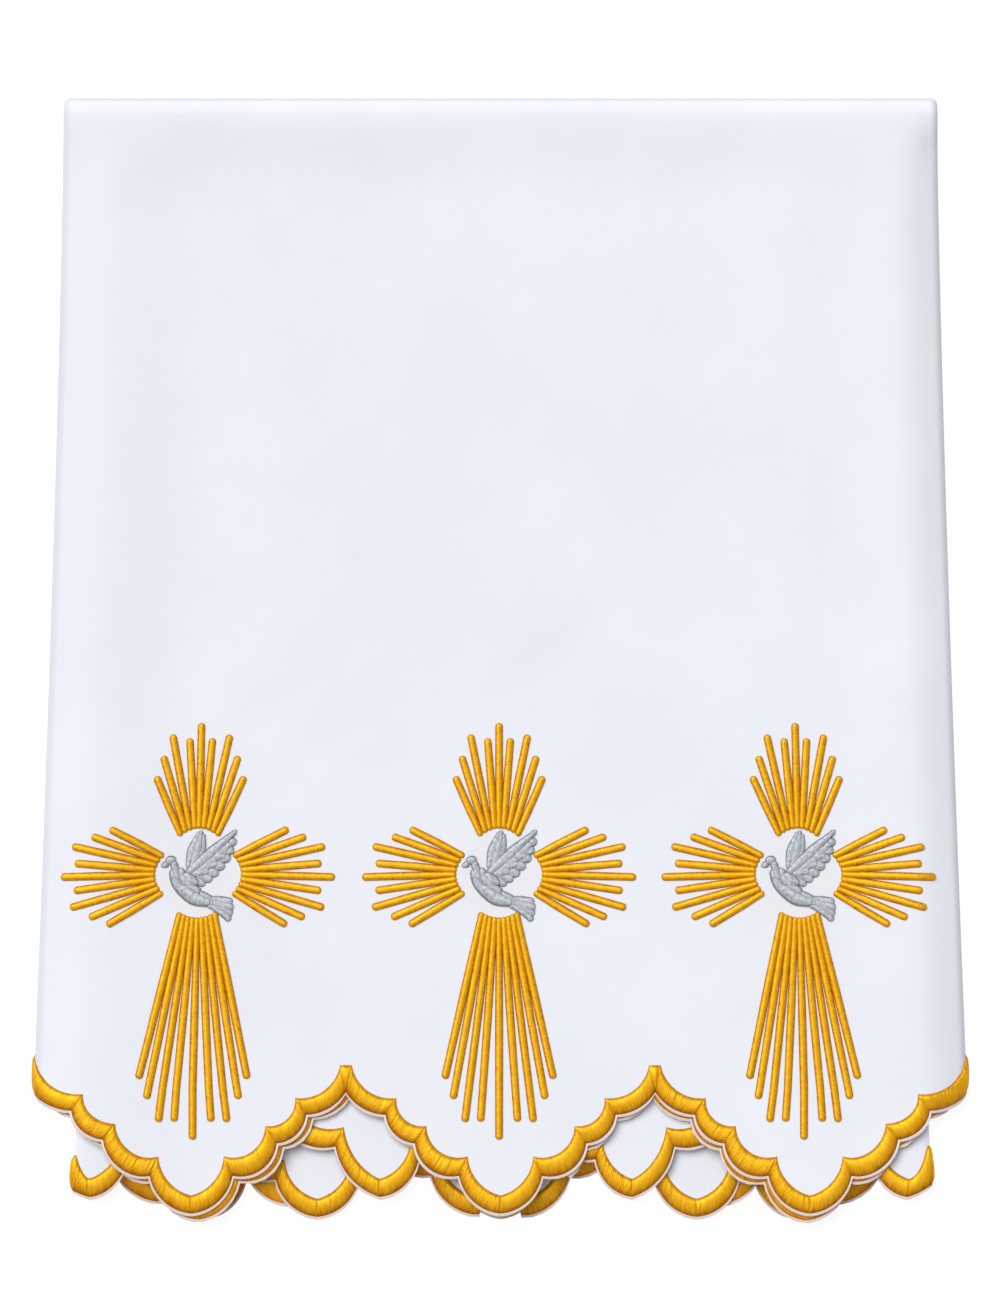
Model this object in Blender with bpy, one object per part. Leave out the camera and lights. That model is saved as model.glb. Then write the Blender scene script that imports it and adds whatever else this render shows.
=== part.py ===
"""A white altar cloth with a scalloped hem in gold satin stitch, folded and laid flat.

The cloth is one sheet. Its two sides are folded in behind the front panel, in and out
again, and the stack is then folded over at its top edge, so that the second hem lies
behind the first. Two numbers name a place on the cloth: `along` runs across it through
every side fold, from 0 at the middle line, and `over` runs from the front hem, below 0,
through 0 to FOLD_OVER across the top fold, and on to the rear hem.
Sizes are in millimetres: x from the middle line, y up from half height, z off the table.
"""

import math

import bpy
import numpy as np
from mathutils import Vector
from mathutils.geometry import delaunay_2d_cdt

MM = 0.001

# The cloth and its thread work
CLOTH_THICK = 1.0
GAP = 0.3
EDGE_THICK = 0.7
RAY_THICK = 0.8
DOVE_THICK = 1.3
CUT_RIM = 1.6
TOP_EDGE = 308.8
TIP_LEVEL = -304.9

# How the sides flare on the way down, and how the folded top edge puffs up
FLARE_LENGTH = 535.0
FLARE_POWER = 1.3
TOP_PUFF = 0.15
TOP_PUFF_WIDTH = 50.0

# How far the margin beside each folded side falls off, as a share, and its width
MARGINS = {"left": (0.15, 13.0), "right": (0.28, 24.0)}

# Height of each layer from the middle of the stack; the rear leaf mirrors it
LEVEL = {"front": 8.4, "second": 6.6, "side loop": 2.4, "third": 3.4, "fourth": 1.6}
LOOP_WIDTH = 18.0

# Each fold line, as its distance from the middle line
# side, fold, at the front hem, at the top, at the rear hem
FOLD_LINES = (
    ("left", "side", 256.6, 240.1, 233.0),
    ("left", "inner", 32.7, 30.0, 8.5),
    ("left", "third", 233.5, 217.6, 210.0),
    ("left", "end", 55.3, 54.0, 55.3),
    ("right", "side", 256.6, 240.1, 233.0),
    ("right", "inner", 35.5, 30.0, 8.5),
    ("right", "third", 235.4, 217.6, 210.0),
    ("right", "end", 54.7, 54.0, 54.7),
)

# One scallop, from the tip of a lobe to the valley beside it
# across and up from the tip, then the bulge of the arc to the next row
OUTER_SCALLOP = (
    ("tip", 0.0, 0.0, 5.2),
    ("low corner", 22.7, 20.8, 6.8),
    ("middle corner", 46.9, 38.6, 4.2),
    ("high corner", 63.1, 54.3, 3.3),
    ("valley", 85.0, 67.0, 0.0),
)
INNER_SCALLOP = (
    ("tip", 0.0, 9.2, 4.6),
    ("low corner", 18.2, 30.7, 7.0),
    ("middle corner", 41.0, 47.4, 5.4),
    ("high corner", 57.5, 62.8, 6.0),
    ("valley", 82.0, 80.7, 0.0),
)
SCALLOP_PITCH = 170.2

# The hem of each layer
# leaf, panel, x of one lobe's tip, pitch, drop of the tips below the front ones
# at the panel's outer end and at its inner end
HEMS = (
    ("front", "front", 0.0, 170.2, 0.0, 0.0),
    ("front", "left second", -166.8, 169.6, 3.4, 3.4),
    ("front", "right second", 168.3, 169.6, 3.4, 4.6),
    ("front", "left third", -66.3, 158.8, -8.9, -8.9),
    ("front", "right third", 72.3, 150.7, -8.9, -8.9),
    ("front", "left fourth", -240.1, 169.9, -8.9, -45.5),
    ("front", "right fourth", 249.4, 169.9, -8.9, -45.5),
    ("rear", "left fourth", -100.9, 170.2, 2.3, 2.3),
    ("rear", "right fourth", 108.1, 170.2, 2.3, 2.3),
    ("rear", "left third", -118.0, 165.0, -4.8, -4.8),
    ("rear", "right third", 121.8, 165.0, -4.8, -4.8),
    ("rear", "left second", -190.0, 175.4, -7.6, 1.4),
    ("rear", "right second", 187.3, 172.7, -7.6, 1.8),
    ("rear", "front", 0.0, 162.5, 2.3, 2.3),
)

# Lobes that stand taller on their outer side: how far each corner moves out and up
# leaf, kind of panel, corner, out, up
TALL_LOBES = (
    ("front", "third", "low corner", 3.4, 7.0),
    ("front", "third", "middle corner", 14.0, 6.0),
    ("front", "third", "high corner", 5.0, 3.0),
)

# Hems whose scallops are deeper, as a share
# leaf, kind of panel, depth
DEEP_HEMS = (("front", "second", 1.035),)

# Hems that move out and up towards the fold at a panel's outer end
# leaf, kind of panel, out, rise of the hem, rise of the inner line alone, over this length
FOLD_CURLS = (
    ("front", "front", 4.2, 2.3, 0.0, 60.0),
    ("front", "third", 0.0, 0.0, 8.0, 10.0),
)
CURL_POWER = 1.3

# How far the hem's inner line and its outer one rise above a valley as they pass round the side fold
FOLD_RISE = {"inner": 5.6, "outer": 1.4}

# The front leaf's third fold bulges out beside the hem: how far, how far down, and half its length
HEM_BULGE = 2.2
HEM_BULGE_DOWN = 585.0
HEM_BULGE_SPAN = 14.0

# Hidden hems are eased into each other over these lengths, after a fold and before one
HEM_EASE = 7.0
SHORT_EASE = 1.5

# Crosses of rays: their middles, and the ray ends in each arm
CROSS_MIDDLES = {"left": -169.4, "middle": -0.8, "right": 166.9}
CROSS_LEVEL = -120.2
RAY_WIDTH = 4.1
# arm, turn in degrees, half width at the root, root distance in the middle and at the side,
# then how far the roots stand across from the tips
ARMS = (
    ("up", 0.0, 10.0, 26.5, 22.5, 0.0),
    ("left", 90.0, 9.8, 23.8, 19.4, 1.5),
    ("down", 180.0, 9.6, 22.0, 19.2, 0.0),
    ("right", 270.0, 9.8, 23.8, 19.4, -1.5),
)
# the middle ray and the four beside it: across from the arm's axis, then along it
SIDE_TIPS = ((0.0, 76.9), (7.6, 69.3), (17.0, 71.1), (22.5, 60.3), (26.6, 50.3))
RAY_TIPS = {
    "up": ((0.0, 84.9), (6.5, 76.5), (16.3, 78.5), (21.3, 66.7), (25.0, 55.5)),
    "left": SIDE_TIPS,
    "down": ((0.0, 144.6), (10.2, 134.7), (18.9, 134.9), (25.4, 122.2), (30.0, 111.1)),
    "right": SIDE_TIPS,
}

# A plain dove, flying to the left with its wings raised, from the middle of its cross
DOVE = {
    "beak": (-20.4, 5.8),
    "crown": (-17.0, 11.0),
    "nape": (-12.6, 11.0),
    "back": (-8.6, 3.6),
    "far wing front": (-6.4, 14.6),
    "far wing tip": (1.2, 25.2),
    "between wings": (2.0, 13.2),
    "near wing bend": (9.0, 18.6),
    "near wing tip": (21.2, 26.0),
    "first feather": (20.4, 19.6),
    "second feather": (17.2, 13.6),
    "third feather": (15.0, 7.0),
    "fourth feather": (9.6, 2.4),
    "last feather": (5.4, -2.6),
    "rump": (1.2, -6.0),
    "tail root": (7.6, -10.4),
    "tail tip, upper": (20.0, -12.6),
    "tail tip, middle": (20.2, -19.0),
    "tail tip, lower": (18.4, -25.4),
    "tail root, lower": (12.4, -17.9),
    "belly": (1.6, -16.0),
    "low breast": (-5.4, -14.2),
    "breast": (-13.0, -7.2),
    "throat": (-15.6, 1.6),
}

# How finely curves are stepped
PUFF_STEPS = 3
LOOP_STEPS = 4
SIDE_FOLD_STEPS = 6
INNER_FOLD_STEPS = 4
TOP_FOLD_STEPS = 6
SEEN_ARC_STEPS = 3
HIDDEN_ARC_STEPS = 2
MERGE = 1e-6
SLOPE_STEP = 0.01

# Linear colour, roughness, metallic value
FINISHES = {
    "white cloth": ((0.86, 0.87, 0.93), 0.85, 0.0),
    "gold thread": ((0.83, 0.42, 0.01), 0.38, 0.1),
    "silver grey thread": ((0.45, 0.48, 0.53), 0.42, 0.1),
}

# Sizes that follow from those above
SIDE_RADIUS = (LEVEL["front"] - LEVEL["side loop"]) / 2
INNER_RADIUS = (LEVEL["second"] - LEVEL["third"]) / 2
THIRD_RADIUS = (LEVEL["third"] - LEVEL["fourth"]) / 2
FOLD_AXIS = TOP_EDGE - (1 + TOP_PUFF) * (LEVEL["front"] + CLOTH_THICK / 2)
FOLD_OVER = math.pi * (1 + TOP_PUFF) * LEVEL["front"]
FACE = CLOTH_THICK / 2


def fold_places(side, w_front, w_rear):
    """Distance of each of a side's fold lines from the middle line."""
    places = {}
    for row_side, fold, front, top, rear in FOLD_LINES:
        if row_side == side:
            places[fold] = top + (front - top) * w_front + (rear - top) * w_rear
    return places


def piece_lengths():
    """Name and length of each stretch of cloth, outwards from the middle line."""
    at = fold_places("left", 1.0, 0.0)
    return (
        ("front", at["side"] - SIDE_RADIUS),
        ("side fold", math.pi * SIDE_RADIUS),
        ("second", at["side"] - SIDE_RADIUS - at["inner"] - INNER_RADIUS),
        ("inner fold", math.pi * INNER_RADIUS),
        ("third", at["third"] - THIRD_RADIUS - at["inner"] - INNER_RADIUS),
        ("third fold", math.pi * THIRD_RADIUS),
        ("fourth", at["third"] - THIRD_RADIUS - at["end"]),
    )


def piece_starts():
    """Where each stretch of cloth starts and ends, as distances along it."""
    starts, total = {}, 0.0
    for name, length in piece_lengths():
        starts[name] = (total, total + length)
        total += length
    return starts


STARTS = piece_starts()
HALF_CLOTH = STARTS["fourth"][1]


def smooth_step(value):
    """0 below 0 and 1 above 1, with level ends."""
    value = np.clip(value, 0.0, 1.0)
    return value * value * (3 - 2 * value)


def side_section(side, distance, w_front, w_rear, bulge):
    """(x, height from the stack's middle) on one side, at a distance from the middle line."""
    at = fold_places(side, w_front, w_rear)
    side_x = at["side"] - SIDE_RADIUS
    inner_x = at["inner"] + INNER_RADIUS
    third_x = at["third"] - THIRD_RADIUS + bulge
    share = {
        name: np.clip((distance - start) / (end - start), 0.0, 1.0)
        for name, (start, end) in STARTS.items()
    }
    side_turn = math.pi * share["side fold"]
    inner_turn = math.pi * share["inner fold"]
    third_turn = math.pi * share["third fold"]
    x = side_x * share["front"]
    x = x + SIDE_RADIUS * np.sin(side_turn)
    x = x + (inner_x - side_x) * share["second"]
    x = x - INNER_RADIUS * np.sin(inner_turn)
    x = x + (third_x - inner_x) * share["third"]
    x = x + THIRD_RADIUS * np.sin(third_turn)
    x = x + (at["end"] - third_x) * share["fourth"]
    into_second = np.clip(distance - STARTS["second"][0], 0.0, None)
    height = LEVEL["front"] - SIDE_RADIUS * (1 - np.cos(side_turn))
    height = height + (LEVEL["second"] - LEVEL["side loop"]) * smooth_step(into_second / LOOP_WIDTH)
    height = height - INNER_RADIUS * (1 - np.cos(inner_turn))
    height = height - THIRD_RADIUS * (1 - np.cos(third_turn))
    return x, height, at["side"]


def place(along, over):
    """Points of the folded cloth's middle surface."""
    down = np.where(over < 0, -over, np.clip(over - FOLD_OVER, 0.0, None))
    flare = np.clip(down / FLARE_LENGTH, 0.0, 1.0)
    w_front = np.where(over < 0, flare**FLARE_POWER, 0.0)
    w_rear = np.where(over > FOLD_OVER, flare, 0.0)
    bulge = HEM_BULGE * np.exp(-(((down - HEM_BULGE_DOWN) / HEM_BULGE_SPAN) ** 2))
    bulge = np.where(over < 0, bulge, 0.0)
    left = side_section("left", np.abs(along), w_front, w_rear, bulge)
    right = side_section("right", np.abs(along), w_front, w_rear, bulge)
    on_left = along < 0
    x = np.where(on_left, -left[0], right[0])
    height = np.where(on_left, left[1], right[1])
    side_edge = np.where(on_left, left[2], right[2])
    fall, width = (np.where(on_left, *values) for values in zip(MARGINS["left"], MARGINS["right"]))
    sides = -fall * (1 - smooth_step((side_edge - np.abs(x)) / width))
    puff_top = 1 - smooth_step(down / TOP_PUFF_WIDTH)
    swell = 1 + sides + (TOP_PUFF - sides) * puff_top**2
    turn = math.pi * np.clip(over / FOLD_OVER, 0.0, 1.0)
    y = FOLD_AXIS - down + swell * height * np.sin(turn)
    z = FACE + swell * (LEVEL["front"] + height * np.cos(turn))
    return np.stack([x, y, z], axis=-1)


def offset_place(along, over, offset):
    """Points at a distance from the middle surface, towards the embroidered side."""
    step = SLOPE_STEP
    across = place(along + step, over) - place(along - step, over)
    upward = place(along, over + step) - place(along, over - step)
    normal = np.cross(across, upward)
    normal /= np.linalg.norm(normal, axis=-1, keepdims=True)
    return place(along, over) + offset * normal


def arc(start, end, bulge, steps):
    """Points of an arc that bulges to the right of its direction, without the last one."""
    start, end = np.array(start), np.array(end)
    chord = end - start
    length = np.linalg.norm(chord)
    ahead = chord / length
    outward = np.array([ahead[1], -ahead[0]])
    half = 2 * math.atan2(2 * bulge, length)
    radius = length / (2 * math.sin(half))
    turns = np.linspace(-half, half, steps + 1)[:-1, None]
    middle = (start + end) / 2
    return middle + ahead * radius * np.sin(turns) + outward * radius * (np.cos(turns) - math.cos(half))


def cut_scallop():
    """The scallop of the cloth's cut edge, a narrow rim outside the thread."""
    rows = []
    for (name, outer_x, outer_y, bulge), (_, inner_x, inner_y, _) in zip(OUTER_SCALLOP, INNER_SCALLOP):
        out = np.array([outer_x - inner_x, outer_y - inner_y])
        if name == "valley":
            out[0] = 0.0
        out *= CUT_RIM / np.linalg.norm(out)
        rows.append((name, outer_x + out[0], outer_y + out[1], bulge))
    return tuple(rows)


def half_scallop(rows, steps):
    """Points from a lobe's tip to the middle of the valley beside it."""
    points = []
    for (_, x0, y0, bulge), (_, x1, y1, _) in zip(rows[:-1], rows[1:]):
        points.extend(arc((x0, y0), (x1, y1), bulge, steps))
    points.append((rows[-1][1], rows[-1][2]))
    if rows[-1][1] < SCALLOP_PITCH / 2 - GAP:
        points.append((SCALLOP_PITCH / 2, rows[-1][2]))
    return np.array(points)


def values_for(table, leaf, panel, default):
    """The numbers of a hem's row in a table, or the default where it has none."""
    for row in table:
        if row[0] == leaf and panel.endswith(row[1]):
            return row[2:]
    return default


def whole_scallop(leaf, panel, rows, steps, pitch):
    """Points of one lobe from valley to valley, in rising x."""
    moves = {row[2]: row[3:] for row in TALL_LOBES if row[0] == leaf and panel.endswith(row[1])}
    tall = []
    for name, x, y, bulge in rows:
        out, up = moves.get(name, (0.0, 0.0))
        tall.append((name, x + out, y + up, bulge))
    depth, = values_for(DEEP_HEMS, leaf, panel, (1.0,))
    halves = []
    for side_rows in (tall, rows):
        half = half_scallop(side_rows, steps) * (pitch / SCALLOP_PITCH, depth)
        half[-1, 0] = pitch / 2
        halves.append(half)
    if panel.startswith("right"):
        halves.reverse()
    return np.concatenate([halves[0][::-1] * (-1, 1), halves[1][1:]])[:-1]


def hem_line(leaf, panel, rows, steps, low, high):
    """Points (x, y) of a layer's scalloped line between two places, in rising x."""
    _, _, tip_x, pitch, drop_outer, drop_inner = next(row for row in HEMS if row[:2] == (leaf, panel))
    whole = whole_scallop(leaf, panel, rows, steps, pitch)
    first = math.floor((low - tip_x) / pitch) - 1
    last = math.ceil((high - tip_x) / pitch) + 1
    line = np.concatenate([whole + (tip_x + k * pitch, 0.0) for k in range(first, last + 1)])
    out, rise, inner_rise, length = values_for(FOLD_CURLS, leaf, panel, (0.0, 0.0, 0.0, 1.0))
    curl = np.clip(1 - (max(abs(low), abs(high)) - np.abs(line[:, 0])) / length, 0.0, 1.0)
    line[:, 0] += np.sign(line[:, 0]) * out * curl**CURL_POWER
    line[:, 1] += rise * smooth_step(2 * curl) + inner_rise * curl**2 * (rows is INNER_SCALLOP)
    inside = line[(line[:, 0] > low + GAP) & (line[:, 0] < high - GAP)]
    ends = np.interp((low, high), line[:, 0], line[:, 1])
    line = np.concatenate([[(low, ends[0])], inside, [(high, ends[1])]])
    share = (line[:, 0] - low) / (high - low)
    if low < 0 < high:
        share = np.abs(2 * share - 1)
    elif high <= 0:
        share = 1 - share
    drop = drop_inner + (drop_outer - drop_inner) * share
    line[:, 1] += TIP_LEVEL - drop
    return line


def panel_ends(side, panel, leaf):
    """(x where the panel's flat cloth starts, x where it ends), outwards from the middle line."""
    at = fold_places(side, float(leaf == "front"), float(leaf == "rear"))
    side_x = at["side"] - SIDE_RADIUS
    inner_x = at["inner"] + INNER_RADIUS
    third_x = at["third"] - THIRD_RADIUS
    return {
        "front": (0.0, side_x),
        "second": (side_x, inner_x),
        "third": (inner_x, third_x),
        "fourth": (third_x, at["end"]),
    }[panel]


def to_cloth(side, panel, leaf, line):
    """(along, over) of the points (x, y) of a line on a panel near its hem."""
    start, end = STARTS[panel]
    x_start, x_end = panel_ends(side, panel, leaf)
    distance = start + (np.abs(line[:, 0]) - x_start) / (x_end - x_start) * (end - start)
    along = -distance if side == "left" else distance
    down = FOLD_AXIS - line[:, 1]
    over = -down if leaf == "front" else FOLD_OVER + down
    return np.stack([along, over], axis=-1)


def panel_line(side, panel, leaf, rows, steps, ease_start=0.0, ease_end=0.0):
    """A side panel's scalloped line on the cloth, outwards along it from the middle line."""
    x_start, x_end = panel_ends(side, panel, leaf)
    heading = math.copysign(1.0, x_end - x_start)
    x_start, x_end = x_start + heading * ease_start, x_end - heading * ease_end
    sign = -1 if side == "left" else 1
    low, high = sorted((sign * x_start, sign * x_end))
    line = hem_line(leaf, f"{side} {panel}", rows, steps, low, high)
    cloth = to_cloth(side, panel, leaf, line)
    return cloth[np.argsort(np.abs(cloth[:, 0]))]


def fold_point(side, rows):
    """(along, over) of a scalloped line of the front leaf where it passes round the side fold."""
    distance = sum(STARTS["side fold"]) / 2
    level = TIP_LEVEL + rows[-1][2] + FOLD_RISE["inner" if rows is INNER_SCALLOP else "outer"]
    return np.array([[-distance if side == "left" else distance, level - FOLD_AXIS]])


def front_line(leaf, rows, steps):
    """The front panel's scalloped line on the cloth, from left to right."""
    reach = panel_ends("left", "front", leaf)[1]
    line = hem_line(leaf, "front", rows, steps, -reach, reach)
    left = to_cloth("left", "front", leaf, line[line[:, 0] < 0])
    right = to_cloth("right", "front", leaf, line[line[:, 0] >= 0])
    return np.concatenate([left, right])


def whole_hem(leaf):
    """The cut edge of one leaf, through all of its layers, from left to right."""
    rows = cut_scallop()
    seen = SEEN_ARC_STEPS
    hidden = HIDDEN_ARC_STEPS
    steps = {"second": hidden, "third": seen, "fourth": hidden}
    if leaf == "rear":
        steps = {"second": hidden, "third": hidden, "fourth": seen}
    sides = {}
    for side in ("left", "right"):
        parts = [fold_point(side, rows)] if leaf == "front" else []
        parts += [
            panel_line(side, "second", leaf, rows, steps["second"], ease_end=SHORT_EASE),
            panel_line(side, "third", leaf, rows, steps["third"], ease_start=HEM_EASE),
            panel_line(side, "fourth", leaf, rows, steps["fourth"], ease_start=HEM_EASE),
        ]
        sides[side] = np.concatenate(parts)
    return np.concatenate([sides["left"][::-1], front_line(leaf, rows, seen), sides["right"]])


def fold_columns():
    """Places along the cloth where it bends, on both sides."""
    front_end = STARTS["front"][1]
    second_start = STARTS["second"][0]
    margin = max(width for _, width in MARGINS.values()) - SIDE_RADIUS
    places = list(np.linspace(front_end - margin, front_end, PUFF_STEPS + 1))
    places += list(np.linspace(*STARTS["side fold"], SIDE_FOLD_STEPS + 1)[1:])
    places += list(np.linspace(second_start, second_start + LOOP_WIDTH, LOOP_STEPS + 1)[1:])
    places += list(np.linspace(*STARTS["inner fold"], INNER_FOLD_STEPS + 1))
    places += list(np.linspace(*STARTS["third fold"], INNER_FOLD_STEPS + 1))
    return [-value for value in places[::-1]] + [0.0] + places


def fold_rows():
    """Places over the cloth where it bends, from the front leaf to the rear one."""
    puffed = np.linspace(TOP_PUFF_WIDTH, 0.0, PUFF_STEPS + 1)
    front = [-FLARE_LENGTH * share for share in (1.0, 0.8, 0.6, 0.4, 0.2)]
    front += list(-puffed)
    top = list(np.linspace(0.0, FOLD_OVER, TOP_FOLD_STEPS + 1)[1:])
    rear = list(FOLD_OVER + puffed[-2::-1])
    return front + top + rear + [FOLD_OVER + FLARE_LENGTH * 0.5, FOLD_OVER + FLARE_LENGTH]


def is_inside(points, outline):
    """Which points lie inside a closed outline: an odd number of its edges is crossed below them."""
    x0, y0 = outline.T
    x1, y1 = np.roll(outline, -1, axis=0).T
    x, y = points[:, :1], points[:, 1:]
    spans = (x0 <= x) != (x1 <= x)
    width = np.where(x1 == x0, 1.0, x1 - x0)
    level = y0 + (x - x0) / width * (y1 - y0)
    return (spans & (level < y)).sum(axis=1) % 2 == 1


def flat_triangles(outline, lines):
    """Points and triangles of a flat outline, with edges along the lines that cross it."""
    points = [Vector(point) for point in outline]
    edges = [(i, (i + 1) % len(points)) for i in range(len(points))]
    for start, end in lines:
        edges.append((len(points), len(points) + 1))
        points += [Vector(start), Vector(end)]
    found = delaunay_2d_cdt(points, edges, [], 0, MERGE, False)
    corners = np.array([tuple(point) for point in found[0]])
    faces = np.array([tuple(face) for face in found[2]])
    faces = faces[is_inside(corners[faces].mean(axis=1), np.array(outline))]
    a, b, c = corners[faces[:, 0]], corners[faces[:, 1]], corners[faces[:, 2]]
    area = (b[:, 0] - a[:, 0]) * (c[:, 1] - a[:, 1]) - (b[:, 1] - a[:, 1]) * (c[:, 0] - a[:, 0])
    faces[area < 0] = faces[area < 0][:, ::-1]
    used, index = np.unique(faces, return_inverse=True)
    return corners[used], index.reshape(-1, 3)


def solid_on_cloth(outline, lines, low, high):
    """Points and faces of a closed solid over a flat outline, between two offsets."""
    flat, faces = flat_triangles(outline, lines)
    count = len(flat)
    under = offset_place(flat[:, 0], flat[:, 1], low)
    upper = offset_place(flat[:, 0], flat[:, 1], high)
    ends = np.concatenate([faces[:, [0, 1]], faces[:, [1, 2]], faces[:, [2, 0]]])
    keys = ends[:, 0] * count + ends[:, 1]
    twins = ends[:, 1] * count + ends[:, 0]
    rim = ends[~np.isin(keys, twins)]
    walls = [(a, b, b + count, a + count) for a, b in rim]
    solid = [tuple(face + count) for face in faces] + [tuple(face[::-1]) for face in faces]
    return np.concatenate([under, upper]), solid + walls


def cloth_piece():
    """The whole cloth, as one solid."""
    front, rear = whole_hem("front"), whole_hem("rear")
    outline = np.concatenate([front, rear[::-1]])
    low, high = outline[:, 1].min(), outline[:, 1].max()
    lines = [((along, low), (along, high)) for along in fold_columns()]
    lines += [((-HALF_CLOTH, over), (HALF_CLOTH, over)) for over in fold_rows()]
    return solid_on_cloth(outline, lines, -FACE, FACE)


def column_lines(outline):
    """Lines down an outline wherever the cloth bends across it."""
    low, high = outline.min(axis=0), outline.max(axis=0)
    places = [along for along in fold_columns() if low[0] < along < high[0]]
    return [((along, low[1]), (along, high[1])) for along in places]


def edge_piece(outer, inner):
    """A band of satin stitch between two scalloped lines."""
    outline = np.concatenate([outer, inner[::-1]])
    return solid_on_cloth(outline, column_lines(outline), FACE + GAP, FACE + GAP + EDGE_THICK)


def folded_line(rows, steps):
    """The front panel's scalloped line, on to the middle of the side folds."""
    left, right = fold_point("left", rows), fold_point("right", rows)
    return np.concatenate([left, front_line("front", rows, steps), right])


def edge_pieces():
    """The bands of satin stitch on the layers whose embroidered side shows."""
    steps = SEEN_ARC_STEPS
    scallops = (OUTER_SCALLOP, INNER_SCALLOP)
    pieces = {"edge_front": edge_piece(*(folded_line(rows, steps) for rows in scallops))}
    for name, panel, leaf in (("inner", "third", "front"), ("rear", "fourth", "rear")):
        for side in ("left", "right"):
            lines = [panel_line(side, panel, leaf, rows, steps, GAP, GAP) for rows in scallops]
            pieces[f"edge_{name}_{side}"] = edge_piece(*lines)
    return pieces


def meeting_point(start, heading, other_start, other_heading):
    """Where two lines cross."""
    sides = np.stack([heading, -other_heading], axis=-1)
    return start + heading * np.linalg.solve(sides, other_start - start)[0]


def arm_outline(arm):
    """Outline of one arm of a cross: rays side by side at the root, parted further out."""
    _, _, half_root, root_middle, root_side, shift = next(row for row in ARMS if row[0] == arm)
    tips = RAY_TIPS[arm]
    last = len(tips) - 1
    rays = []
    for k in range(-last, last + 1):
        across, along = tips[abs(k)]
        sign = math.copysign(1.0, k)
        root_along = root_middle + (root_side - root_middle) * abs(k / last) ** 2
        root = np.array([half_root * k / last + shift, root_along])
        tip = np.array([sign * across, along])
        heading = (tip - root) / np.linalg.norm(tip - root)
        rays.append((root, tip, heading, np.array([heading[1], -heading[0]]) * RAY_WIDTH / 2))
    outline = [root - right for root, _, _, right in rays[:1]]
    for number, (root, tip, heading, right) in enumerate(rays):
        shoulder = tip - heading * RAY_WIDTH / 2
        outline += [shoulder - right, tip - right / 2, tip + right / 2, shoulder + right]
        if number < len(rays) - 1:
            next_root, _, next_heading, next_right = rays[number + 1]
            outline.append(meeting_point(root + right, heading, next_root - next_right, next_heading))
    outline.append(rays[-1][0] + rays[-1][3])
    outline += [root for root, _, _, _ in rays[-2:0:-1]]
    return np.array(outline)


def on_cross(points, turn, middle):
    """(along, over) on the cloth of points given from a cross's middle, turned by an angle."""
    cosine, sine = math.cos(math.radians(turn)), math.sin(math.radians(turn))
    x = middle + cosine * points[:, 0] - sine * points[:, 1]
    y = CROSS_LEVEL + sine * points[:, 0] + cosine * points[:, 1]
    return np.stack([x, y - FOLD_AXIS], axis=-1)


def ray_pieces():
    """Every arm of the three crosses."""
    low, high = FACE + GAP, FACE + GAP + RAY_THICK
    pieces = {}
    for cross, middle in CROSS_MIDDLES.items():
        for arm, turn, *_ in ARMS:
            outline = on_cross(arm_outline(arm), turn, middle)
            pieces[f"rays_{cross}_{arm}"] = solid_on_cloth(outline, column_lines(outline), low, high)
    return pieces


def dove_pieces():
    """The dove in the middle of each cross."""
    low, high = FACE + GAP, FACE + GAP + DOVE_THICK
    points = np.array(list(DOVE.values()))
    pieces = {}
    for cross, middle in CROSS_MIDDLES.items():
        pieces[f"dove_{cross}"] = solid_on_cloth(on_cross(points, 0.0, middle), [], low, high)
    return pieces


def material_for(name):
    """A material with one of the finishes."""
    colour, roughness, metallic = FINISHES[name]
    material = bpy.data.materials.get(name) or bpy.data.materials.new(name)
    material.use_nodes = True
    shader = material.node_tree.nodes["Principled BSDF"]
    shader.inputs["Base Color"].default_value = (*colour, 1.0)
    shader.inputs["Roughness"].default_value = roughness
    shader.inputs["Metallic"].default_value = metallic
    return material


def add_object(name, points, faces, finish):
    """One named object from points in millimetres."""
    mesh = bpy.data.meshes.new(name)
    mesh.from_pydata((points * MM).tolist(), [], [tuple(int(i) for i in face) for face in faces])
    mesh.materials.append(material_for(finish))
    item = bpy.data.objects.new(name, mesh)
    bpy.context.collection.objects.link(item)


def main():
    for item in list(bpy.data.objects):
        bpy.data.objects.remove(item)
    cloth = {"cloth": cloth_piece()}
    gold = {**edge_pieces(), **ray_pieces()}
    doves = dove_pieces()
    corners = np.concatenate([points for points, _ in {**cloth, **gold, **doves}.values()])
    low, high = corners.min(axis=0), corners.max(axis=0)
    origin = np.array([(low[0] + high[0]) / 2, (low[1] + high[1]) / 2, low[2]])
    for finish, pieces in (("white cloth", cloth), ("gold thread", gold), ("silver grey thread", doves)):
        for name, (points, faces) in pieces.items():
            add_object(name, points - origin, faces, finish)


main()
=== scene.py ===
"""A folded white altar cloth, embroidered in gold and silver-grey thread, on a pale surface.

The cloth is one sheet: its sides are folded in behind the front panel, and the stack is
folded over at its top edge. `along` runs across the cloth through every side fold, from 0
at the middle line, and `over` runs from the front hem, below 0, through 0 to FOLD_OVER
across the top fold, and on to the rear hem. Layout sizes are in millimetres: x from the
middle line, y up from half height, z off the surface. The settings are in metres.
"""

import math

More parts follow.
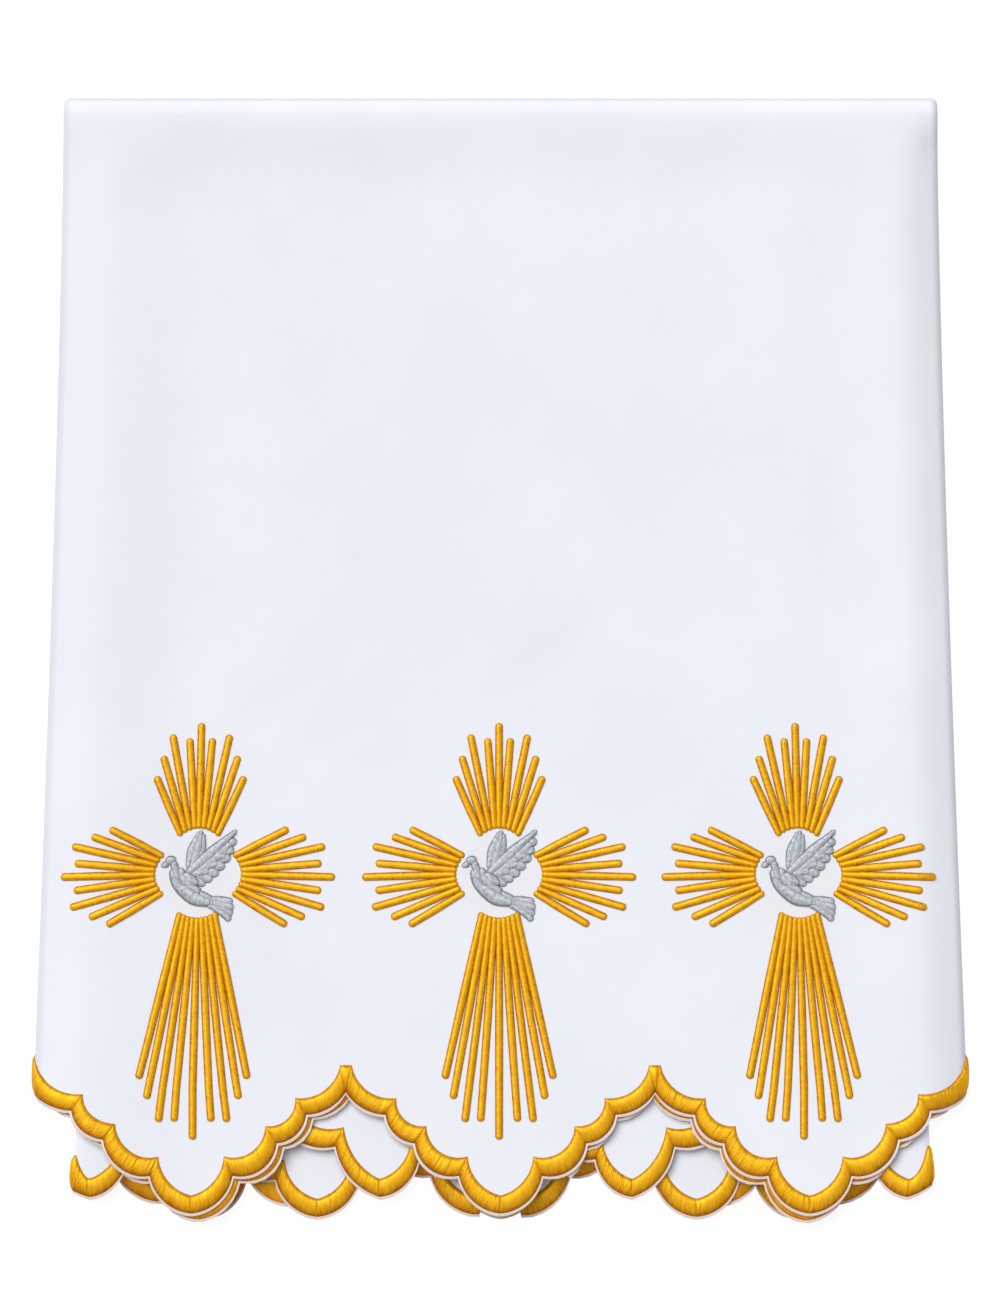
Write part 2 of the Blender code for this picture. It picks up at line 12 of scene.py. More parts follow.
import bpy
import numpy as np
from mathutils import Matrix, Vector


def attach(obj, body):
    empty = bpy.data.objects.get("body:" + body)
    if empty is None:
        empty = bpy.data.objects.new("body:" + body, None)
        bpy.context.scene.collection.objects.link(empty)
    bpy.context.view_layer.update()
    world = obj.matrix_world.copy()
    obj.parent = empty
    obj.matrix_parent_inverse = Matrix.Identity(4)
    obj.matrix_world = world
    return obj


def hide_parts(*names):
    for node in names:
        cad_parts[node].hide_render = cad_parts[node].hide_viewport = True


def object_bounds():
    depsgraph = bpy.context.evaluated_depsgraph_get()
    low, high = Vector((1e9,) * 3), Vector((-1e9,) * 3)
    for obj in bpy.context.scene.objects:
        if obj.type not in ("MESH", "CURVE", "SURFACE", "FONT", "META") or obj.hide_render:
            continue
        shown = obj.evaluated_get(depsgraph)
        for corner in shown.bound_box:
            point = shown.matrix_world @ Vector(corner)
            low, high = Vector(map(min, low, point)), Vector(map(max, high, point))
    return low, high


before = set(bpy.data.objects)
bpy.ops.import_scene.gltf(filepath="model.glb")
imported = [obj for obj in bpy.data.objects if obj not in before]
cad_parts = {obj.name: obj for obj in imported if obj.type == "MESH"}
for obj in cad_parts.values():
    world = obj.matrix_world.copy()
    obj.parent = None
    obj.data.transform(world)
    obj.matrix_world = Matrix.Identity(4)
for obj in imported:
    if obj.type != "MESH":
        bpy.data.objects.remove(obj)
CAD_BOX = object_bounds()

bl_info = {
    "name": "Folded altar cloth",
    "version": (1, 0, 0),
    "blender": (4, 5, 0),
    "location": "3D View > Sidebar > Altar cloth",
    "description": "A folded altar cloth with a scalloped satin-stitch hem and crosses of rays",
    "category": "Object",
}

MM = 0.001
SEED = 7

# Heights and folds of the stack
TOP_EDGE = 308.8
TIP_LEVEL = -304.9
SOLID_FACE = 0.5
FLARE_LENGTH = 535.0
FLARE_POWER = 1.3
LEVEL = {"front": 8.4, "second": 6.6, "side loop": 2.4, "third": 3.4, "fourth": 1.6}
LOOP_WIDTH = 18.0
TOP_PUFF = 0.15
TOP_PUFF_WIDTH = 50.0

# The margin beside each folded side: how far it falls off, as a share, its width, then how far
# the cloth swells inside it, as a share, and how wide that swelling is
MARGINS = {"left": (0.02, 30.0, 0.16, 50.0), "right": (0.40, 24.0, 0.14, 45.0)}

# Each fold line, as its distance from the middle line
# side, fold, at the front hem, at the top, at the rear hem
FOLD_LINES = (
    ("left", "side", 256.6, 240.1, 233.0),
    ("left", "inner", 32.7, 30.0, 8.5),
    ("left", "third", 233.5, 217.6, 210.0),
    ("left", "end", 55.3, 54.0, 55.3),
    ("right", "side", 256.6, 240.1, 233.0),
    ("right", "inner", 35.5, 30.0, 8.5),
    ("right", "third", 235.4, 217.6, 210.0),
    ("right", "end", 54.7, 54.0, 54.7),
)

# One scallop, from the tip of a lobe to the valley beside it
# across and up from the tip, then the bulge of the arc to the next row
OUTER_SCALLOP = (
    ("tip", 0.0, 0.0, 5.2),
    ("low corner", 22.7, 20.8, 6.8),
    ("middle corner", 46.9, 38.6, 4.2),
    ("high corner", 63.1, 54.3, 3.3),
    ("valley", 85.0, 67.0, 0.0),
)
INNER_SCALLOP = (
    ("tip", 0.0, 9.2, 4.6),
    ("low corner", 18.2, 30.7, 7.0),
    ("middle corner", 41.0, 47.4, 5.4),
    ("high corner", 57.5, 62.8, 6.0),
    ("valley", 82.0, 80.7, 0.0),
)
SCALLOP_PITCH = 170.2
CUT_RIM = 2.1
ARC_STEPS = 16
CLIP_GAP = 0.3

# Each hem eases into the next one over these lengths, after a fold and before one
EASES = {"second": (0.0, 1.5), "third": (7.0, 0.0), "fourth": (7.0, 0.0)}

# The hem of each layer
# leaf, panel, x of one lobe's tip, pitch, drop of the tips below the front ones
# at the panel's outer end and at its inner end
HEMS = (
    ("front", "front", 0.0, 170.2, 0.0, 0.0),
    ("front", "left second", -166.8, 169.6, 3.4, 3.4),
    ("front", "right second", 168.3, 169.6, 3.4, 4.6),
    ("front", "left third", -66.3, 158.8, -8.9, -8.9),
    ("front", "right third", 72.3, 150.7, -8.9, -8.9),
    ("front", "left fourth", -240.1, 169.9, -8.9, -45.5),
    ("front", "right fourth", 249.4, 169.9, -8.9, -45.5),
    ("rear", "left fourth", -100.9, 170.2, 2.3, 2.3),
    ("rear", "right fourth", 108.1, 170.2, 2.3, 2.3),
    ("rear", "left third", -118.0, 165.0, -4.8, -4.8),
    ("rear", "right third", 121.8, 165.0, -4.8, -4.8),
    ("rear", "left second", -190.0, 175.4, -7.6, 1.4),
    ("rear", "right second", 187.3, 172.7, -7.6, 1.8),
    ("rear", "front", 0.0, 162.5, 2.3, 2.3),
)

# Lobes that stand taller on their outer side: how far each corner moves out and up
# leaf, kind of panel, corner, out, up
TALL_LOBES = (
    ("front", "third", "low corner", 3.4, 7.0),
    ("front", "third", "middle corner", 14.0, 6.0),
    ("front", "third", "high corner", 5.0, 3.0),
)

# Hems whose scallops are deeper, as a share
# leaf, kind of panel, depth
DEEP_HEMS = (("front", "second", 1.035),)

# Hems that move out and up towards the fold at a panel's outer end
# leaf, kind of panel, out, rise of the hem, rise of the inner line alone, over this length
FOLD_CURLS = (
    ("front", "front", 4.2, 2.3, 0.0, 60.0),
    ("front", "third", 0.0, 0.0, 8.0, 10.0),
)
CURL_POWER = 1.3

# How far the hem's inner line and its outer one rise above a valley round the side fold
FOLD_RISE = {"inner": 5.6, "outer": 1.4}

# The front leaf's third fold bulges out beside the hem: how far, how far down, and its reach
HEM_BULGE = 2.2
HEM_BULGE_DOWN = 585.0
HEM_BULGE_SPAN = 14.0

# Soft creases of the front panel, and how far off the top fold they fade in
# from x, y to x, y, then half width and rise
CREASE_FADE = 8.0
CREASES = (
    (-180.0, 262.0, -186.0, -20.0, 30.0, -0.9),
    (-120.0, 240.0, -130.0, -60.0, 30.0, 0.6),
    (-180.0, 252.0, 190.0, 254.0, 26.0, -0.6),
    (6.0, -20.0, 52.0, 22.0, 12.0, -0.5),
    (-132.0, -30.0, -92.0, 0.0, 12.0, -0.45),
    (-124.0, -72.0, -82.0, -36.0, 12.0, -0.4),
    (196.0, 250.0, 204.0, 20.0, 20.0, -0.9),
    (60.0, 60.0, 150.0, 20.0, 18.0, 0.4),
    (235.5, 287.0, 238.0, 278.0, 4.5, -2.4),
)

# Crosses of rays: their middles, and the ray ends in each arm
CROSS_MIDDLES = {"left": -169.4, "middle": -0.8, "right": 166.9}
CROSS_LEVEL = -120.2
# arm, turn in degrees, half width at the root, root distance in the middle and at the side,
# then how far the roots stand across from the tips
ARMS = (
    ("up", 0.0, 10.0, 26.5, 22.5, 0.0),
    ("left", 90.0, 9.8, 23.8, 19.4, 1.5),
    ("down", 180.0, 9.6, 22.0, 19.2, 0.0),
    ("right", 270.0, 9.8, 23.8, 19.4, -1.5),
)
# the middle ray and the four beside it: across from the arm's axis, then along it
SIDE_TIPS = ((0.0, 76.9), (7.6, 69.3), (17.0, 71.1), (22.5, 60.3), (26.6, 50.3))
RAY_TIPS = {
    "up": ((0.0, 84.9), (6.5, 76.5), (16.3, 78.5), (21.3, 66.7), (25.0, 55.5)),
    "left": SIDE_TIPS,
    "down": ((0.0, 144.6), (10.2, 134.7), (18.9, 134.9), (25.4, 122.2), (30.0, 111.1)),
    "right": SIDE_TIPS,
}

# Pads of satin stitch in the dove, from the middle of its cross, drawn over one another
# name, start, middle, end, width at each of them, lift, height
DOVE_PADS = (
    ("far feather 1", (-6.0, 4.5), (-3.6, 14.5), (0.4, 25.2), (2.6, 5.8, 2.4), 0.0, 1.0),
    ("far feather 2", (-4.6, 4.5), (-0.8, 14.0), (1.4, 26.0), (2.4, 5.4, 2.4), 0.2, 1.1),
    ("far feather 3", (-3.2, 5.0), (1.6, 14.5), (2.4, 24.2), (2.2, 4.6, 2.6), 0.0, 1.0),
    ("tail 1", (5.0, -11.6), (13.0, -12.8), (20.0, -13.4), (3.0, 4.8, 4.0), 0.2, 1.0),
    ("tail 2", (5.0, -13.0), (13.2, -15.1), (20.6, -16.9), (3.0, 5.0, 4.6), 0.3, 1.0),
    ("tail 3", (5.0, -14.4), (13.0, -17.2), (20.0, -20.6), (3.0, 5.0, 4.6), 0.2, 1.0),
    ("tail 4", (5.4, -15.4), (13.0, -18.8), (18.6, -24.2), (2.8, 4.2, 3.8), 0.5, 1.0),
    ("feather 1", (9.5, 15.6), (15.5, 18.4), (21.6, 19.6), (4.0, 6.4, 4.6), 0.1, 1.0),
    ("feather 2", (7.5, 12.6), (13.5, 14.4), (20.2, 14.6), (4.0, 6.6, 5.0), 0.2, 1.0),
    ("feather 3", (5.0, 9.4), (11.5, 10.6), (18.4, 9.8), (4.0, 6.8, 5.2), 0.1, 1.0),
    ("feather 4", (2.5, 6.6), (8.5, 6.8), (15.2, 5.4), (4.0, 6.8, 5.2), 0.2, 1.0),
    ("feather 5", (0.0, 4.0), (5.5, 3.4), (11.8, 1.4), (4.0, 6.6, 5.2), 0.1, 1.0),
    ("feather 6", (-2.0, 1.6), (3.0, 0.4), (8.2, -1.8), (4.0, 6.2, 4.8), 0.2, 1.0),
    ("feather 7", (-3.0, -1.0), (0.4, -2.2), (4.2, -4.6), (3.6, 5.2, 4.2), 0.1, 1.0),
    ("wing edge", (-6.5, 1.5), (6.4, 12.9), (21.4, 26.0), (4.6, 6.4, 2.8), 0.5, 1.3),
    ("wing fold", (-4.0, 0.4), (6.0, 7.8), (19.0, 19.6), (4.6, 6.0, 3.6), 0.6, 0.9),
    ("covert 1", (-1.6, 1.4), (2.2, 3.0), (6.6, 3.0), (3.4, 4.6, 3.4), 0.9, 0.7),
    ("covert 2", (2.0, 4.6), (6.4, 6.6), (11.4, 7.0), (3.2, 4.4, 3.2), 0.8, 0.7),
    ("covert 3", (6.4, 8.6), (10.6, 11.0), (15.8, 12.0), (3.0, 4.2, 3.0), 0.8, 0.7),
    ("breast", (-14.4, 4.6), (-11.0, -4.4), (-2.0, -12.6), (4.2, 6.4, 6.6), 0.4, 1.5),
    ("rump", (0.2, -8.6), (5.0, -12.4), (10.0, -14.6), (5.6, 7.0, 5.6), 0.4, 1.2),
    ("belly", (-10.0, -4.0), (-2.6, -10.9), (8.4, -14.0), (6.0, 8.4, 5.0), 0.6, 1.5),
    ("back", (-9.8, 5.4), (-6.5, -2.5), (2.0, -8.6), (3.6, 6.4, 4.2), 0.7, 1.4),
    ("shoulder", (-8.2, 2.4), (-4.4, -0.8), (0.6, -3.6), (3.6, 5.4, 3.6), 1.3, 0.9),
    ("neck", (-14.4, 9.0), (-12.9, 4.4), (-10.8, -2.4), (4.4, 4.4, 5.4), 0.9, 1.3),
    ("beak", (-16.6, 7.6), (-18.8, 6.8), (-21.0, 5.8), (4.6, 3.4, 1.4), 0.5, 0.9),
    ("head", (-18.0, 7.6), (-15.6, 9.4), (-12.6, 9.4), (3.6, 4.8, 3.6), 1.1, 1.1),
)

# Sizes that follow from those above
SIDE_RADIUS = (LEVEL["front"] - LEVEL["side loop"]) / 2
INNER_RADIUS = (LEVEL["second"] - LEVEL["third"]) / 2
THIRD_RADIUS = (LEVEL["third"] - LEVEL["fourth"]) / 2
FOLD_AXIS = TOP_EDGE - (1 + TOP_PUFF) * (LEVEL["front"] + SOLID_FACE)
FOLD_OVER = math.pi * (1 + TOP_PUFF) * LEVEL["front"]
FRAME_SHIFT = TOP_EDGE - CAD_BOX[1][1] / MM

# How finely the pieces are stepped
COLUMNS = {"front": 226, "second": 50, "third": 76, "fourth": 60}
FOLD_COLUMNS = {"side fold": 12, "inner fold": 8, "third fold": 6}
FOLD_BEFORE = {"second": "side fold", "third": "inner fold", "fourth": "third fold"}
# share of the way from the top fold to the hem: up to this share, in this many rows
FRONT_ROWS = ((0.116, 9), (0.46, 8), (0.72, 25), (0.84, 4), (1.0, 8))
TOP_ROWS = 10
REAR_ROWS = ((0.08, 3), (0.84, 3), (1.0, 4))
SLOPE_STEP = 0.01
RAY_STEP = 0.6
RAY_LIFT = 0.1
BAR_STEPS = 8
PAD_STEPS = 26
CORNER_TURN = 0.4
# Share of the way down where the columns start to lean towards the scallops, and how fast
HEM_START = 0.72
HEM_REACH = 0.22
# The satin edge: its width as a share of the band in the solids, and how far its crest leans inwards
EDGE_SPREAD = 1.08
EDGE_LEAN = 0.78
# Pattern coordinates run across a stitched shape from minus this to this
HALF_SATIN = 4.0
# The stitches: slant, depth of the ridges between them, how uneven they are, and the groove
# at a mitred corner, as its depth and its width
STITCH_SLANT = 1.2
RIDGE_DEPTH = 0.12
STITCH_UNEVEN = 0.04
MITRE_DEPTH = 0.45
MITRE_WIDTH = 0.6
# Thread work starts a little off the cloth's face, and its underside sinks a little into it
THREAD_OFF = 0.08
BAND_SINK = 0.05
BAR_SINK = 0.1

# The white ground inside a cross: how far its middle lies off the cross's, and where it fades
DISC_SHIFT = (0.3, 1.5)
DISC_RADII = (23.2, 20.8)
# How far the painted shade of a fold reaches at the side and at the top, and how much of it is full shade
SHADED_FOLD_REACH = {"side": 6.5, "top": 8.0}
SHADED_FOLD_CORE = 0.4

# Thread finishes: distance of two threads, then the fineness and share of the blotches and the
# tones that give the deep colour and the bright one
GOLD_PITCH = 0.0005
GOLD_TINT = (1.0, 0.75, 0.3)
GOLD_MOTTLE = (160.0, 0.35, 0.12, 0.72)
SILVER_PITCH = 0.0006
SILVER_MOTTLE = (520.0, 1.4, 0.29, 0.64)

# The stage
FLOOR_HALF = 3.0
FLOOR_DROP = 0.0005
LAMP_PLACE = (-0.8, 1.0, 2.2)
LAMP_ANGLE = 45.0
VIEW_MIDDLE = (-0.000275, 0.0066)


def length_setting(name, description, default):
    """A length that a user can change, in metres."""
    return bpy.props.FloatProperty(name=name, description=description, default=default, unit="LENGTH")


def number_setting(name, description, default):
    """A plain number that a user can change."""
    return bpy.props.FloatProperty(name=name, description=description, default=default)


def colour_setting(name, description, default):
    """A colour that a user can change."""
    return bpy.props.FloatVectorProperty(
        name=name, description=description, default=default, subtype="COLOR"
    )


class ClothSettings(bpy.types.PropertyGroup):
    """Sizes and colours of the cloth."""

    thickness: length_setting("Thickness", "Thickness of the sheet", 0.0006)
    weave_pitch: length_setting("Weave pitch", "Distance between two yarns", 0.00042)
    # Painted shade: the share by which the cloth is made greyer along its side folds and its top fold
    fold_shade: number_setting("Fold shade", "How much greyer the cloth is in a pressed fold", 0.16)
    colour: colour_setting("Colour", "Colour of the cloth", (0.80, 0.815, 0.885))
    # The rim colour is partly the frayed cut edge's own tan and partly painted shade
    rim_tint_and_shade: colour_setting("Rim colour", "Colour of the rim outside the thread", (0.68, 0.58, 0.53))
    disc_colour: colour_setting("Disc colour", "Colour of the ground inside a cross", (0.787, 0.79, 0.838))


class ThreadSettings(bpy.types.PropertyGroup):
    """Sizes and colours of the embroidery."""

    edge_height: length_setting("Edge height", "How far the satin edge stands up", 0.0015)
    ray_width: length_setting("Ray width", "Width of one ray", 0.0043)
    ray_height: length_setting("Ray height", "How far a ray stands up", 0.0013)
    stitch_pitch: length_setting("Stitch pitch", "Distance between two ridges of stitches", 0.0013)
    # The deep colours are the gaps between stitches, and painted shade at the sides of each stitched shape
    # and at a hem band's outer side
    gold: colour_setting("Gold", "Colour of the gold thread", (1.0, 0.56, 0.014))
    deep_gold: colour_setting("Deep gold", "Colour between the gold stitches", (0.45, 0.11, 0.001))
    silver: colour_setting("Silver grey", "Colour of the dove's thread", (0.60, 0.63, 0.68))
    deep_silver: colour_setting("Deep grey", "Colour between its stitches", (0.20, 0.215, 0.245))


class StageSettings(bpy.types.PropertyGroup):
    """Camera and light."""

    camera_height: length_setting("Camera height", "Height of the camera", 6.0)
    frame_height: length_setting("Frame height", "Height of the picture on the cloth", 0.71115)
    key_strength: number_setting("Key light", "Strength of the main light", 2.5)
    sky_strength: number_setting("Sky", "Strength of the even light", 0.38)
    glow: number_setting("Floor glow", "Light given off by the floor", 0.85)


def in_mm(value):
    """Millimetres from metres."""
    return value / MM


def smooth_step(value):
    """0 below 0 and 1 above 1, with level ends."""
    value = np.clip(value, 0.0, 1.0)
    return value * value * (3 - 2 * value)


def fold_places(side, w_front, w_rear):
    """Distance of each of a side's fold lines from the middle line."""
    places = {}
    for row_side, fold, front, top, rear in FOLD_LINES:
        if row_side == side:
            places[fold] = top + (front - top) * w_front + (rear - top) * w_rear
    return places


def piece_starts():
    """Where each stretch of cloth starts and ends, as distances along it from the middle line."""
    at = fold_places("left", 1.0, 0.0)
    lengths = (
        ("front", at["side"] - SIDE_RADIUS),
        ("side fold", math.pi * SIDE_RADIUS),
        ("second", at["side"] - SIDE_RADIUS - at["inner"] - INNER_RADIUS),
        ("inner fold", math.pi * INNER_RADIUS),
        ("third", at["third"] - THIRD_RADIUS - at["inner"] - INNER_RADIUS),
        ("third fold", math.pi * THIRD_RADIUS),
        ("fourth", at["third"] - THIRD_RADIUS - at["end"]),
    )
    starts, total = {}, 0.0
    for name, length in lengths:
        starts[name] = (total, total + length)
        total += length
    return starts


STARTS = piece_starts()


def side_section(side, distance, w_front, w_rear, bulge):
    """(x, height, side edge) on one side: flat stretches joined by half circles."""
    at = fold_places(side, w_front, w_rear)
    side_x = at["side"] - SIDE_RADIUS
    inner_x = at["inner"] + INNER_RADIUS
    third_x = at["third"] - THIRD_RADIUS + bulge
    share = {
        name: np.clip((distance - start) / (end - start), 0.0, 1.0)
        for name, (start, end) in STARTS.items()
    }
    side_turn, inner_turn, third_turn = (
        math.pi * share[f"{fold} fold"] for fold in ("side", "inner", "third")
    )
    x = side_x * share["front"]
    x = x + SIDE_RADIUS * np.sin(side_turn)
    x = x + (inner_x - side_x) * share["second"]
    x = x - INNER_RADIUS * np.sin(inner_turn)
    x = x + (third_x - inner_x) * share["third"]
    x = x + THIRD_RADIUS * np.sin(third_turn)
    x = x + (at["end"] - third_x) * share["fourth"]
    into_second = np.clip(distance - STARTS["second"][0], 0.0, None)
    height = LEVEL["front"] - SIDE_RADIUS * (1 - np.cos(side_turn))
    height = height + (LEVEL["second"] - LEVEL["side loop"]) * smooth_step(into_second / LOOP_WIDTH)
    height = height - INNER_RADIUS * (1 - np.cos(inner_turn))
    height = height - THIRD_RADIUS * (1 - np.cos(third_turn))
    return x, height, at["side"]


def crease_rise(x, y):
    """Sum over the creases: the rise times a bell of the distance from the crease's line."""
    rise = np.zeros_like(x)
    for x0, y0, x1, y1, half_width, height in CREASES:
        run = np.array([x1 - x0, y1 - y0])
        share = np.clip(((x - x0) * run[0] + (y - y0) * run[1]) / (run @ run), 0.0, 1.0)
        distance = np.hypot(x - x0 - share * run[0], y - y0 - share * run[1])
        rise += height * np.exp(-((distance / half_width) ** 2))
    return rise


def place(along, over):
    """Points of the folded cloth's middle surface: the side section, swept round the top fold."""
    down = np.where(over < 0, -over, np.clip(over - FOLD_OVER, 0.0, None))
    flare = np.clip(down / FLARE_LENGTH, 0.0, 1.0)
    w_front = np.where(over < 0, flare**FLARE_POWER, 0.0)
    w_rear = np.where(over > FOLD_OVER, flare, 0.0)
    bulge = HEM_BULGE * np.exp(-(((down - HEM_BULGE_DOWN) / HEM_BULGE_SPAN) ** 2))
    bulge = np.where(over < 0, bulge, 0.0)
    left = side_section("left", np.abs(along), w_front, w_rear, bulge)
    right = side_section("right", np.abs(along), w_front, w_rear, bulge)
    on_left = along < 0
    x = np.where(on_left, -left[0], right[0])
    height = np.where(on_left, left[1], right[1])
    side_edge = np.where(on_left, left[2], right[2])
    inside = side_edge - np.abs(x)
    margins = zip(MARGINS["left"], MARGINS["right"])
    fall, width, puff, spread = (np.where(on_left, *pair) for pair in margins)
    fade = 1 - smooth_step((inside - width) / spread)
    sides = puff * smooth_step(inside / width) * fade - fall * np.clip(1 - inside / width, 0.0, 1.0) ** 2
    puff_top = 1 - smooth_step(down / TOP_PUFF_WIDTH)
    swell = 1 + sides + (TOP_PUFF - sides) * puff_top**2
    creased = crease_rise(x, FOLD_AXIS - down) / (2 * LEVEL["front"])
    swell = swell + np.where(over < 0, creased * smooth_step(down / CREASE_FADE), 0.0)
    turn = math.pi * np.clip(over / FOLD_OVER, 0.0, 1.0)
    y = FOLD_AXIS - down + swell * height * np.sin(turn)
    z = SOLID_FACE + swell * (LEVEL["front"] + height * np.cos(turn))
    return np.stack([x, y, z], axis=-1)


def offset_place(along, over, offset):
    """Points at a distance from the middle surface, towards the embroidered side."""
    step = SLOPE_STEP
    across = place(along + step, over) - place(along - step, over)
    upward = place(along, over + step) - place(along, over - step)
    normal = np.cross(across, upward)
    normal /= np.linalg.norm(normal, axis=-1, keepdims=True)
    return place(along, over) + np.asarray(offset)[..., None] * normal


def arc(start, end, bulge):
    """Points of a round arc that bulges to the right of its direction, without the last one."""
    start, end = np.array(start), np.array(end)
    chord = end - start
    length = np.linalg.norm(chord)
    ahead = chord / length
    outward = np.array([ahead[1], -ahead[0]])
    half = 2 * math.atan2(2 * bulge, length)
    radius = length / (2 * math.sin(half))
    turns = np.linspace(-half, half, ARC_STEPS + 1)[:-1, None]
    middle = (start + end) / 2
    rise = np.cos(turns) - math.cos(half)
    return middle + ahead * radius * np.sin(turns) + outward * radius * rise


def cut_scallop():
    """The scallop of the cloth's cut edge, a narrow rim outside the thread."""
    rows = []
    for (name, outer_x, outer_y, bulge), (_, inner_x, inner_y, _) in zip(OUTER_SCALLOP, INNER_SCALLOP):
        out = np.array([outer_x - inner_x, outer_y - inner_y])
        if name == "valley":
            out[0] = 0.0
        out *= CUT_RIM / np.linalg.norm(out)
        rows.append((name, outer_x + out[0], outer_y + out[1], bulge))
    return tuple(rows)


def half_scallop(rows):
    """Points from a lobe's tip to the middle of the valley beside it, arc by arc."""
    points = []
    for (_, x0, y0, bulge), (_, x1, y1, _) in zip(rows[:-1], rows[1:]):
        points.extend(arc((x0, y0), (x1, y1), bulge))
    points.append((rows[-1][1], rows[-1][2]))
    points.append((SCALLOP_PITCH / 2, rows[-1][2]))
    return np.array(points)


def values_for(table, leaf, panel, default):
    """The numbers of a hem's row in a table, or the default where it has none."""
    for row in table:
        if row[0] == leaf and panel.endswith(row[1]):
            return row[2:]
    return default


def whole_scallop(leaf, panel, rows, pitch):
    """Points of one lobe from valley to valley, in rising x."""
    moves = {row[2]: row[3:] for row in TALL_LOBES if row[0] == leaf and panel.endswith(row[1])}
    tall = []
    for name, x, y, bulge in rows:
        out, up = moves.get(name, (0.0, 0.0))
        tall.append((name, x + out, y + up, bulge))
    depth, = values_for(DEEP_HEMS, leaf, panel, (1.0,))
    halves = [half_scallop(side_rows) * (pitch / SCALLOP_PITCH, depth) for side_rows in (tall, rows)]
    if panel.startswith("right"):
        halves.reverse()
    return np.concatenate([halves[0][::-1] * (-1, 1), halves[1][1:]])[:-1]


def hem_lines(leaf, panel, scallops, low, high):
    """Matching lines (x, y) of a layer's scallops between two places, and which points are corners."""
    _, _, tip_x, pitch, drop_outer, drop_inner = next(row for row in HEMS if row[:2] == (leaf, panel))
    first, last = math.floor((low - tip_x) / pitch) - 1, math.ceil((high - tip_x) / pitch) + 1
    shifts = tip_x + pitch * np.arange(first, last + 1)
    out, rise, inner_rise, reach = values_for(FOLD_CURLS, leaf, panel, (0.0, 0.0, 0.0, 1.0))
    lines = []
    for rows in scallops:
        whole = whole_scallop(leaf, panel, rows, pitch)
        tiled = np.repeat(whole[None], len(shifts), axis=0)
        tiled[:, :, 0] += shifts[:, None]
        line = tiled.reshape(-1, 2)
        curl = np.clip(1 - (max(abs(low), abs(high)) - np.abs(line[:, 0])) / reach, 0.0, 1.0)
        line[:, 0] += np.sign(line[:, 0]) * out * curl**CURL_POWER
        line[:, 1] += rise * smooth_step(2 * curl) + inner_rise * curl**2 * (rows is INNER_SCALLOP)
        lines.append(line)
    half = (len(OUTER_SCALLOP) - 1) * ARC_STEPS + 2
    corner = np.arange(half) % ARC_STEPS == 0
    corner = np.tile(np.concatenate([corner[::-1], corner[1:]])[:-1], len(shifts))
    across = np.stack([line[:, 0] for line in lines])
    keep = np.all((across > low + CLIP_GAP) & (across < high - CLIP_GAP), axis=0)
    clipped = []
    for line in lines:
        ends = np.interp((low, high), line[:, 0], line[:, 1])
        line = np.concatenate([[(low, ends[0])], line[keep], [(high, ends[1])]])
        share = (line[:, 0] - low) / (high - low)
        if low < 0 < high:
            share = np.abs(2 * share - 1)
        elif high <= 0:
            share = 1 - share
        line[:, 1] += TIP_LEVEL - drop_inner - (drop_outer - drop_inner) * share
        clipped.append(line)
    return clipped, np.concatenate([[False], corner[keep], [False]])


def panel_ends(side, panel, leaf):
    """(x where the panel's flat cloth starts, x where it ends), outwards from the middle line."""
    at = fold_places(side, float(leaf == "front"), float(leaf == "rear"))
    side_x = at["side"] - SIDE_RADIUS
    inner_x = at["inner"] + INNER_RADIUS
    third_x = at["third"] - THIRD_RADIUS
    return {
        "front": (0.0, side_x),
        "second": (side_x, inner_x),
        "third": (inner_x, third_x),
        "fourth": (third_x, at["end"]),
    }[panel]


def to_cloth(side, panel, leaf, line):
    """(along, over) of the points (x, y) of a line on a panel near its hem."""
    start, end = STARTS[panel]
    x_start, x_end = panel_ends(side, panel, leaf)
    distance = start + (np.abs(line[:, 0]) - x_start) / (x_end - x_start) * (end - start)
    along = -distance if side == "left" else distance
    down = FOLD_AXIS - line[:, 1]
    over = -down if leaf == "front" else FOLD_OVER + down
    return np.stack([along, over], axis=-1)


def panel_lines(side, panel, leaf, scallops):
    """A side panel's matching scalloped lines on the cloth, outwards along it, and its corners."""
    ease_start, ease_end = EASES[panel]
    x_start, x_end = panel_ends(side, panel, leaf)
    heading = math.copysign(1.0, x_end - x_start)
    x_start, x_end = x_start + heading * ease_start, x_end - heading * ease_end
    sign = -1 if side == "left" else 1
    low, high = sorted((sign * x_start, sign * x_end))
    lines, corner = hem_lines(leaf, f"{side} {panel}", scallops, low, high)
    order = np.argsort(np.abs(to_cloth(side, panel, leaf, lines[0])[:, 0]), kind="stable")
    return [to_cloth(side, panel, leaf, line)[order] for line in lines], corner[order]


def fold_point(side, rows):
    """(along, over) of a scalloped line of the front leaf where it passes round the side fold."""
    distance = sum(STARTS["side fold"]) / 2
    level = TIP_LEVEL + rows[-1][2] + FOLD_RISE["inner" if rows is INNER_SCALLOP else "outer"]
    return np.array([[-distance if side == "left" else distance, level - FOLD_AXIS]])


def front_lines(leaf, scallops):
    """The front panel's matching scalloped lines on the cloth, from left to right."""
    reach = panel_ends("left", "front", leaf)[1]
    lines, corner = hem_lines(leaf, "front", scallops, -reach, reach)
    found = []
    for line in lines:
        left = to_cloth("left", "front", leaf, line)
        right = to_cloth("right", "front", leaf, line)
        found.append(np.where(line[:, :1] < 0, left, right))
    return found, corner


